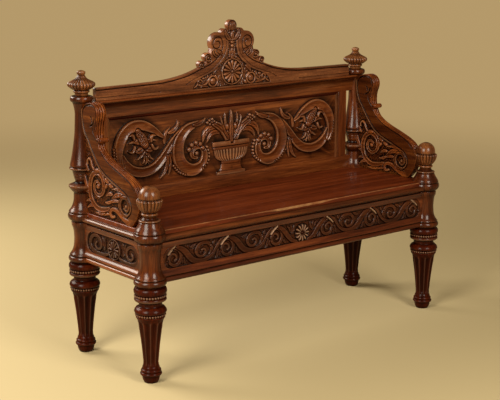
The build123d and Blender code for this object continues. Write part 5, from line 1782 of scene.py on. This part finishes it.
# Mouldings and plain boards
def makeStrip(section, length, shades):
    # straight length along X of a closed section of (out, height) corners; it faces -Y
    # shades: (from height, to height, depth of the shade)
    bpy.ops.mesh.primitive_circle_add(vertices=len(section), radius=0.1, location=(0, 0, 0))
    strip = bpy.context.view_layer.objects.active
    writePoints(strip, [(-length / 2 * mm, -out * mm, z * mm) for out, z in section])
    editAll()
    bpy.ops.mesh.edge_face_add()
    bpy.ops.mesh.extrude_region_move(TRANSFORM_OT_translate={"value": (length * mm, 0, 0)})
    closeEdit()
    bpy.ops.object.shade_smooth_by_angle(angle=math.radians(35))
    level = readPoints(strip)[:, 2] / mm
    shadeAndGrime = np.zeros(len(level))
    for low, high, amount in shades:
        shadeAndGrime = np.where((level > low) & (level < high), amount, shadeAndGrime)
    writeMask(strip, "shadeAndGrime", shadeAndGrime)
    return strip


def curveCorners(centre, radiusOut, radiusUp, startTurn, finishTurn, count):
    turns = np.radians(np.linspace(startTurn, finishTurn, count))
    return [(centre[0] + radiusOut * math.cos(t), centre[1] + radiusUp * math.sin(t)) for t in turns]


railMouldingValues = {
    "section": [
        (-1, 301), *curveCorners((0, 309), 8, 8, -90, 80, 14), (3.4, 317), (3.4, 320.6), (7.6, 320.9),
        *[(8 * (0.5 + 0.5 * math.cos(math.pi * t)), 321.6 + 17.4 * t) for t in np.linspace(0, 1, 12)],
        (-1, 339),
    ],
    "shades": [(316.5, 320.8, 0.95)],
    "frontWood": frontRailWood,
    "frontLength": 1120.0,
    "sideLength": 300.0,
    "frontFace": 195.0,
    "sideFace": 605.0,
}
seatMouldingValues = {
    "section": [(-1, 428)] + curveCorners((0, 437.5), 14, 9.5, -90, 90, 34) + [(-1, 447)],
    "shades": [(427, 431, 0.95), (431, 445.6, 0.4), (445.6, 448, 0.6)],
    "frontWood": woodAcross,
    "frontLength": 1130.0,
    "sideLength": 310.0,
    "frontFace": 194.0,
    "sideFace": 604.0,
}


def makeMouldings(values, label, frontNode, rightNode):
    front = makeStrip(values["section"], values["frontLength"], values["shades"])
    writePoints(front, readPoints(front) - np.array([0, values["frontFace"] * mm, 0]))
    right = makeStrip(values["section"], values["sideLength"], values["shades"])
    turnSheet(right, values["sideFace"])
    left = mirrorCopy(right)
    finishPiece(front, "front_" + label, [frontNode], values["frontWood"])
    finishPiece(right, "right_" + label, [rightNode], woodDeep)
    finishPiece(left, "left_" + label, [rightNode.replace("right", "left")], woodDeep)


makeMouldings(railMouldingValues, "bead_and_ogee", "front_rail_moulding", "right_rail_moulding")
makeMouldings(seatMouldingValues, "seat_half_round", "seat_front_moulding", "seat_right_moulding")

corniceValues = {
    "section": [
        (-28, 790), (0, 790), (0, 768), (3, 768),
        *[
            (3 + 18.2 * (1 - math.cos(t)), 768.4 + 26.2 * math.sin(t))
            for t in np.linspace(0.05, math.pi / 2 - 0.05, 14)
        ],
        (20.6, 796.2), *curveCorners((19.6, 799.6), 2.4, 2.4, -60, 90, 8), (-28, 802),
    ],
    "shades": [(768.2, 776, 0.35), (776, 795.5, 0.6), (795.5, 797, 0.9)],
    "length": 1144.0,
    "face": 172.0,
}
cornice = makeStrip(corniceValues["section"], corniceValues["length"], corniceValues["shades"])
writePoints(cornice, readPoints(cornice) + np.array([0, corniceValues["face"] * mm, 0]))
finishPiece(cornice, "moulded_cornice", ["cornice"], woodAcross)

boardValues = {
    "back_top_rail": {"low": (-570, 172, 745), "high": (570, 200, 790), "wood": woodAcross, "bevel": 1.2},
    "back_bottom_rail": {"low": (-562, 172, 460), "high": (562, 200, 505), "wood": woodAcross, "bevel": 1.2},
    "back_left_stile": {"low": (-540, 172, 505), "high": (-500, 200, 745), "wood": woodUpright, "bevel": 1.0},
    "back_right_stile": {"low": (500, 172, 505), "high": (540, 200, 745), "wood": woodUpright, "bevel": 1.0},
}


def makeBoard(low, high, bevel):
    bpy.ops.mesh.primitive_cube_add(size=1)
    board = bpy.context.view_layer.objects.active
    low, high = np.array(low, float), np.array(high, float)
    writePoints(board, (readPoints(board) * (high - low) + (low + high) / 2) * mm)
    edge = board.modifiers.new("edge", "BEVEL")
    edge.width = bevel * mm
    edge.segments = 3
    bpy.ops.object.modifier_apply(modifier="edge")
    bpy.ops.object.shade_smooth_by_angle(angle=math.radians(40))
    return board


for node, values in boardValues.items():
    board = makeBoard(values["low"], values["high"], values["bevel"])
    finishPiece(board, "plain_" + node, [node], values["wood"])
print("stage: mouldings and boards made")

# Camera, floor and light
cameraValues = {
    "azimuth": -39.6447,
    "elevation": 9.43504,
    "roll": 0.18591,
    "distance": 4169.3,
    "target": (-60.56, 0.0, 678.83),
    "lens": 91.79,
    "shiftY": -0.1372,
}
azimuth, elevation = math.radians(cameraValues["azimuth"]), math.radians(cameraValues["elevation"])
level = math.cos(elevation)
back = Vector((math.sin(azimuth) * level, -math.cos(azimuth) * level, math.sin(elevation)))
bpy.ops.object.camera_add(location=(Vector(cameraValues["target"]) + back * cameraValues["distance"]) * mm)
camera = bpy.context.view_layer.objects.active
right = Vector((math.cos(azimuth), math.sin(azimuth), 0))
up = back.cross(right)
roll = math.radians(cameraValues["roll"])
rolledRight = right * math.cos(roll) + up * math.sin(roll)
rolledUp = up * math.cos(roll) - right * math.sin(roll)
camera.rotation_mode = "QUATERNION"
camera.rotation_quaternion = Matrix((rolledRight, rolledUp, back)).transposed().to_quaternion()
camera.data.sensor_width = 36
camera.data.sensor_fit = "HORIZONTAL"
camera.data.lens = cameraValues["lens"]
camera.data.shift_y = cameraValues["shiftY"]
bpy.context.scene.camera = camera

floorValues = {
    "colour": (0.45, 0.36, 0.19),
    "roughness": 0.9,
    "farColour": (0.46, 0.32, 0.145),
    "farFrom": 1.2,
    "farTo": 5.0,
}


def makeFloorPaint(values):
    # the pale tone is held up far behind the piece, where the lamps do not reach
    material = bpy.data.materials.new("floorPaint")
    material.use_nodes = True
    tree = material.node_tree
    paint = tree.nodes["Principled BSDF"]
    paint.inputs["Base Color"].default_value = (*values["colour"], 1)
    paint.inputs["Roughness"].default_value = values["roughness"]
    glow = addNode(tree, "ShaderNodeEmission", (0, -300))
    glow.inputs["Color"].default_value = (*values["farColour"], 1)
    place = addNode(tree, "ShaderNodeTexCoord", (-900, -200))
    away = addNode(tree, "ShaderNodeVectorMath", (-700, -200), operation="LENGTH")
    smooth = {"interpolation_type": "SMOOTHSTEP"}
    far = addRange(tree, (-500, -200), values["farFrom"], values["farTo"], **smooth)
    path = addNode(tree, "ShaderNodeLightPath", (-900, -500))
    mirrored = addNode(tree, "ShaderNodeMath", (-700, -500), operation="ADD")
    seen = addNode(tree, "ShaderNodeMath", (-500, -500), operation="ADD", use_clamp=True)
    share = addNode(tree, "ShaderNodeMath", (-250, -350), operation="MULTIPLY")
    both = addNode(tree, "ShaderNodeMixShader", (300, 0))
    sink = tree.nodes["Material Output"]
    linkAll(tree, [(place, "Object", away, 0), (away, "Value", far, 0)])
    linkAll(tree, [(path, "Is Glossy Ray", mirrored, 0), (path, "Is Transmission Ray", mirrored, 1)])
    linkAll(tree, [(path, "Is Camera Ray", seen, 0), (mirrored, 0, seen, 1)])
    linkAll(tree, [(far, 0, share, 0), (seen, 0, share, 1), (share, 0, both, 0)])
    linkAll(tree, [(paint, 0, both, 1), (glow, 0, both, 2), (both, 0, sink, "Surface")])
    return material


bpy.ops.mesh.primitive_plane_add(size=60, location=(0, 0, 0))
floor = bpy.context.view_layer.objects.active
floor.name = "floor"
floor.data.materials.append(makeFloorPaint(floorValues))

lightColour = (1.0, 0.93, 0.80)
lightValues = [
    {"name": "leftLight", "place": (-3.0, -0.9, 2.1), "aim": (0, 0, 0.7), "size": (1.3, 2.0), "power": 130},
    {"name": "frontLight", "place": (-0.2, -3.4, 2.3), "aim": (0, 0, 0.7), "size": (1.2, 1.9), "power": 115},
    {"name": "rearLight", "place": (-1.4, 2.35, 2.0), "aim": (0, 0, 0.6), "size": (2.0, 1.3), "power": 120},
]
for values in lightValues:
    bpy.ops.object.light_add(type="AREA", location=values["place"])
    lamp = bpy.context.view_layer.objects.active
    lamp.name = values["name"]
    lamp.data.shape = "RECTANGLE"
    lamp.data.size, lamp.data.size_y = values["size"]
    lamp.data.energy = values["power"]
    lamp.data.color = lightColour
    lamp.rotation_mode = "QUATERNION"
    lamp.rotation_quaternion = (Vector(values["aim"]) - Vector(values["place"])).to_track_quat("-Z", "Y")

roomValues = {"colour": (0.47, 0.34, 0.17), "strength": 0.38}
world = bpy.data.worlds.new("studio")
bpy.context.scene.world = world
world.use_nodes = True
room = world.node_tree.nodes["Background"]
room.inputs[0].default_value = (*roomValues["colour"], 1)
room.inputs[1].default_value = roomValues["strength"]
bpy.context.scene.view_settings.view_transform = "Standard"
print("stage: camera and light set")

# Finish of the CAD pieces: some by name, the others by the way their grain runs
cadWoods = {
    "seat_board": seatWood,
    # painted shadow: the top moulding, in the shade under the top rail, gets the dark leg wood
    "panel_top_moulding": shadowWoodAcross,
    # painted highlight: the side mouldings get the lighter finial wood for the light they catch
    "panel_left_moulding": finialWood,
    "panel_right_moulding": finialWood,
    "rear_rail": frontRailWood,
    "seat_glue_blocks": rawWoodAcross,
    "seat_bearer": rawWoodDeep,
    "crest_dowels": rawWoodUpright,
    "back_dowels": rawWoodUpright,
    "arm_dowels": rawWoodDeep,
    "corner_block_screws": screwSteel,
}
deepParts = ("left_rail", "right_rail", "side_rail", "seat_left_moulding", "seat_right_moulding")
uprightParts = ("stile", "panel_left", "panel_right", "arm")
for node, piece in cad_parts.items():
    if "corner_block" in node and node not in cadWoods:
        wood = rawWoodUpright
    elif any(part in node for part in deepParts):
        wood = woodDeep
    elif any(part in node for part in uprightParts):
        wood = woodUpright
    else:
        wood = woodAcross
    piece.data.materials.clear()
    piece.data.materials.append(cadWoods.get(node, wood))
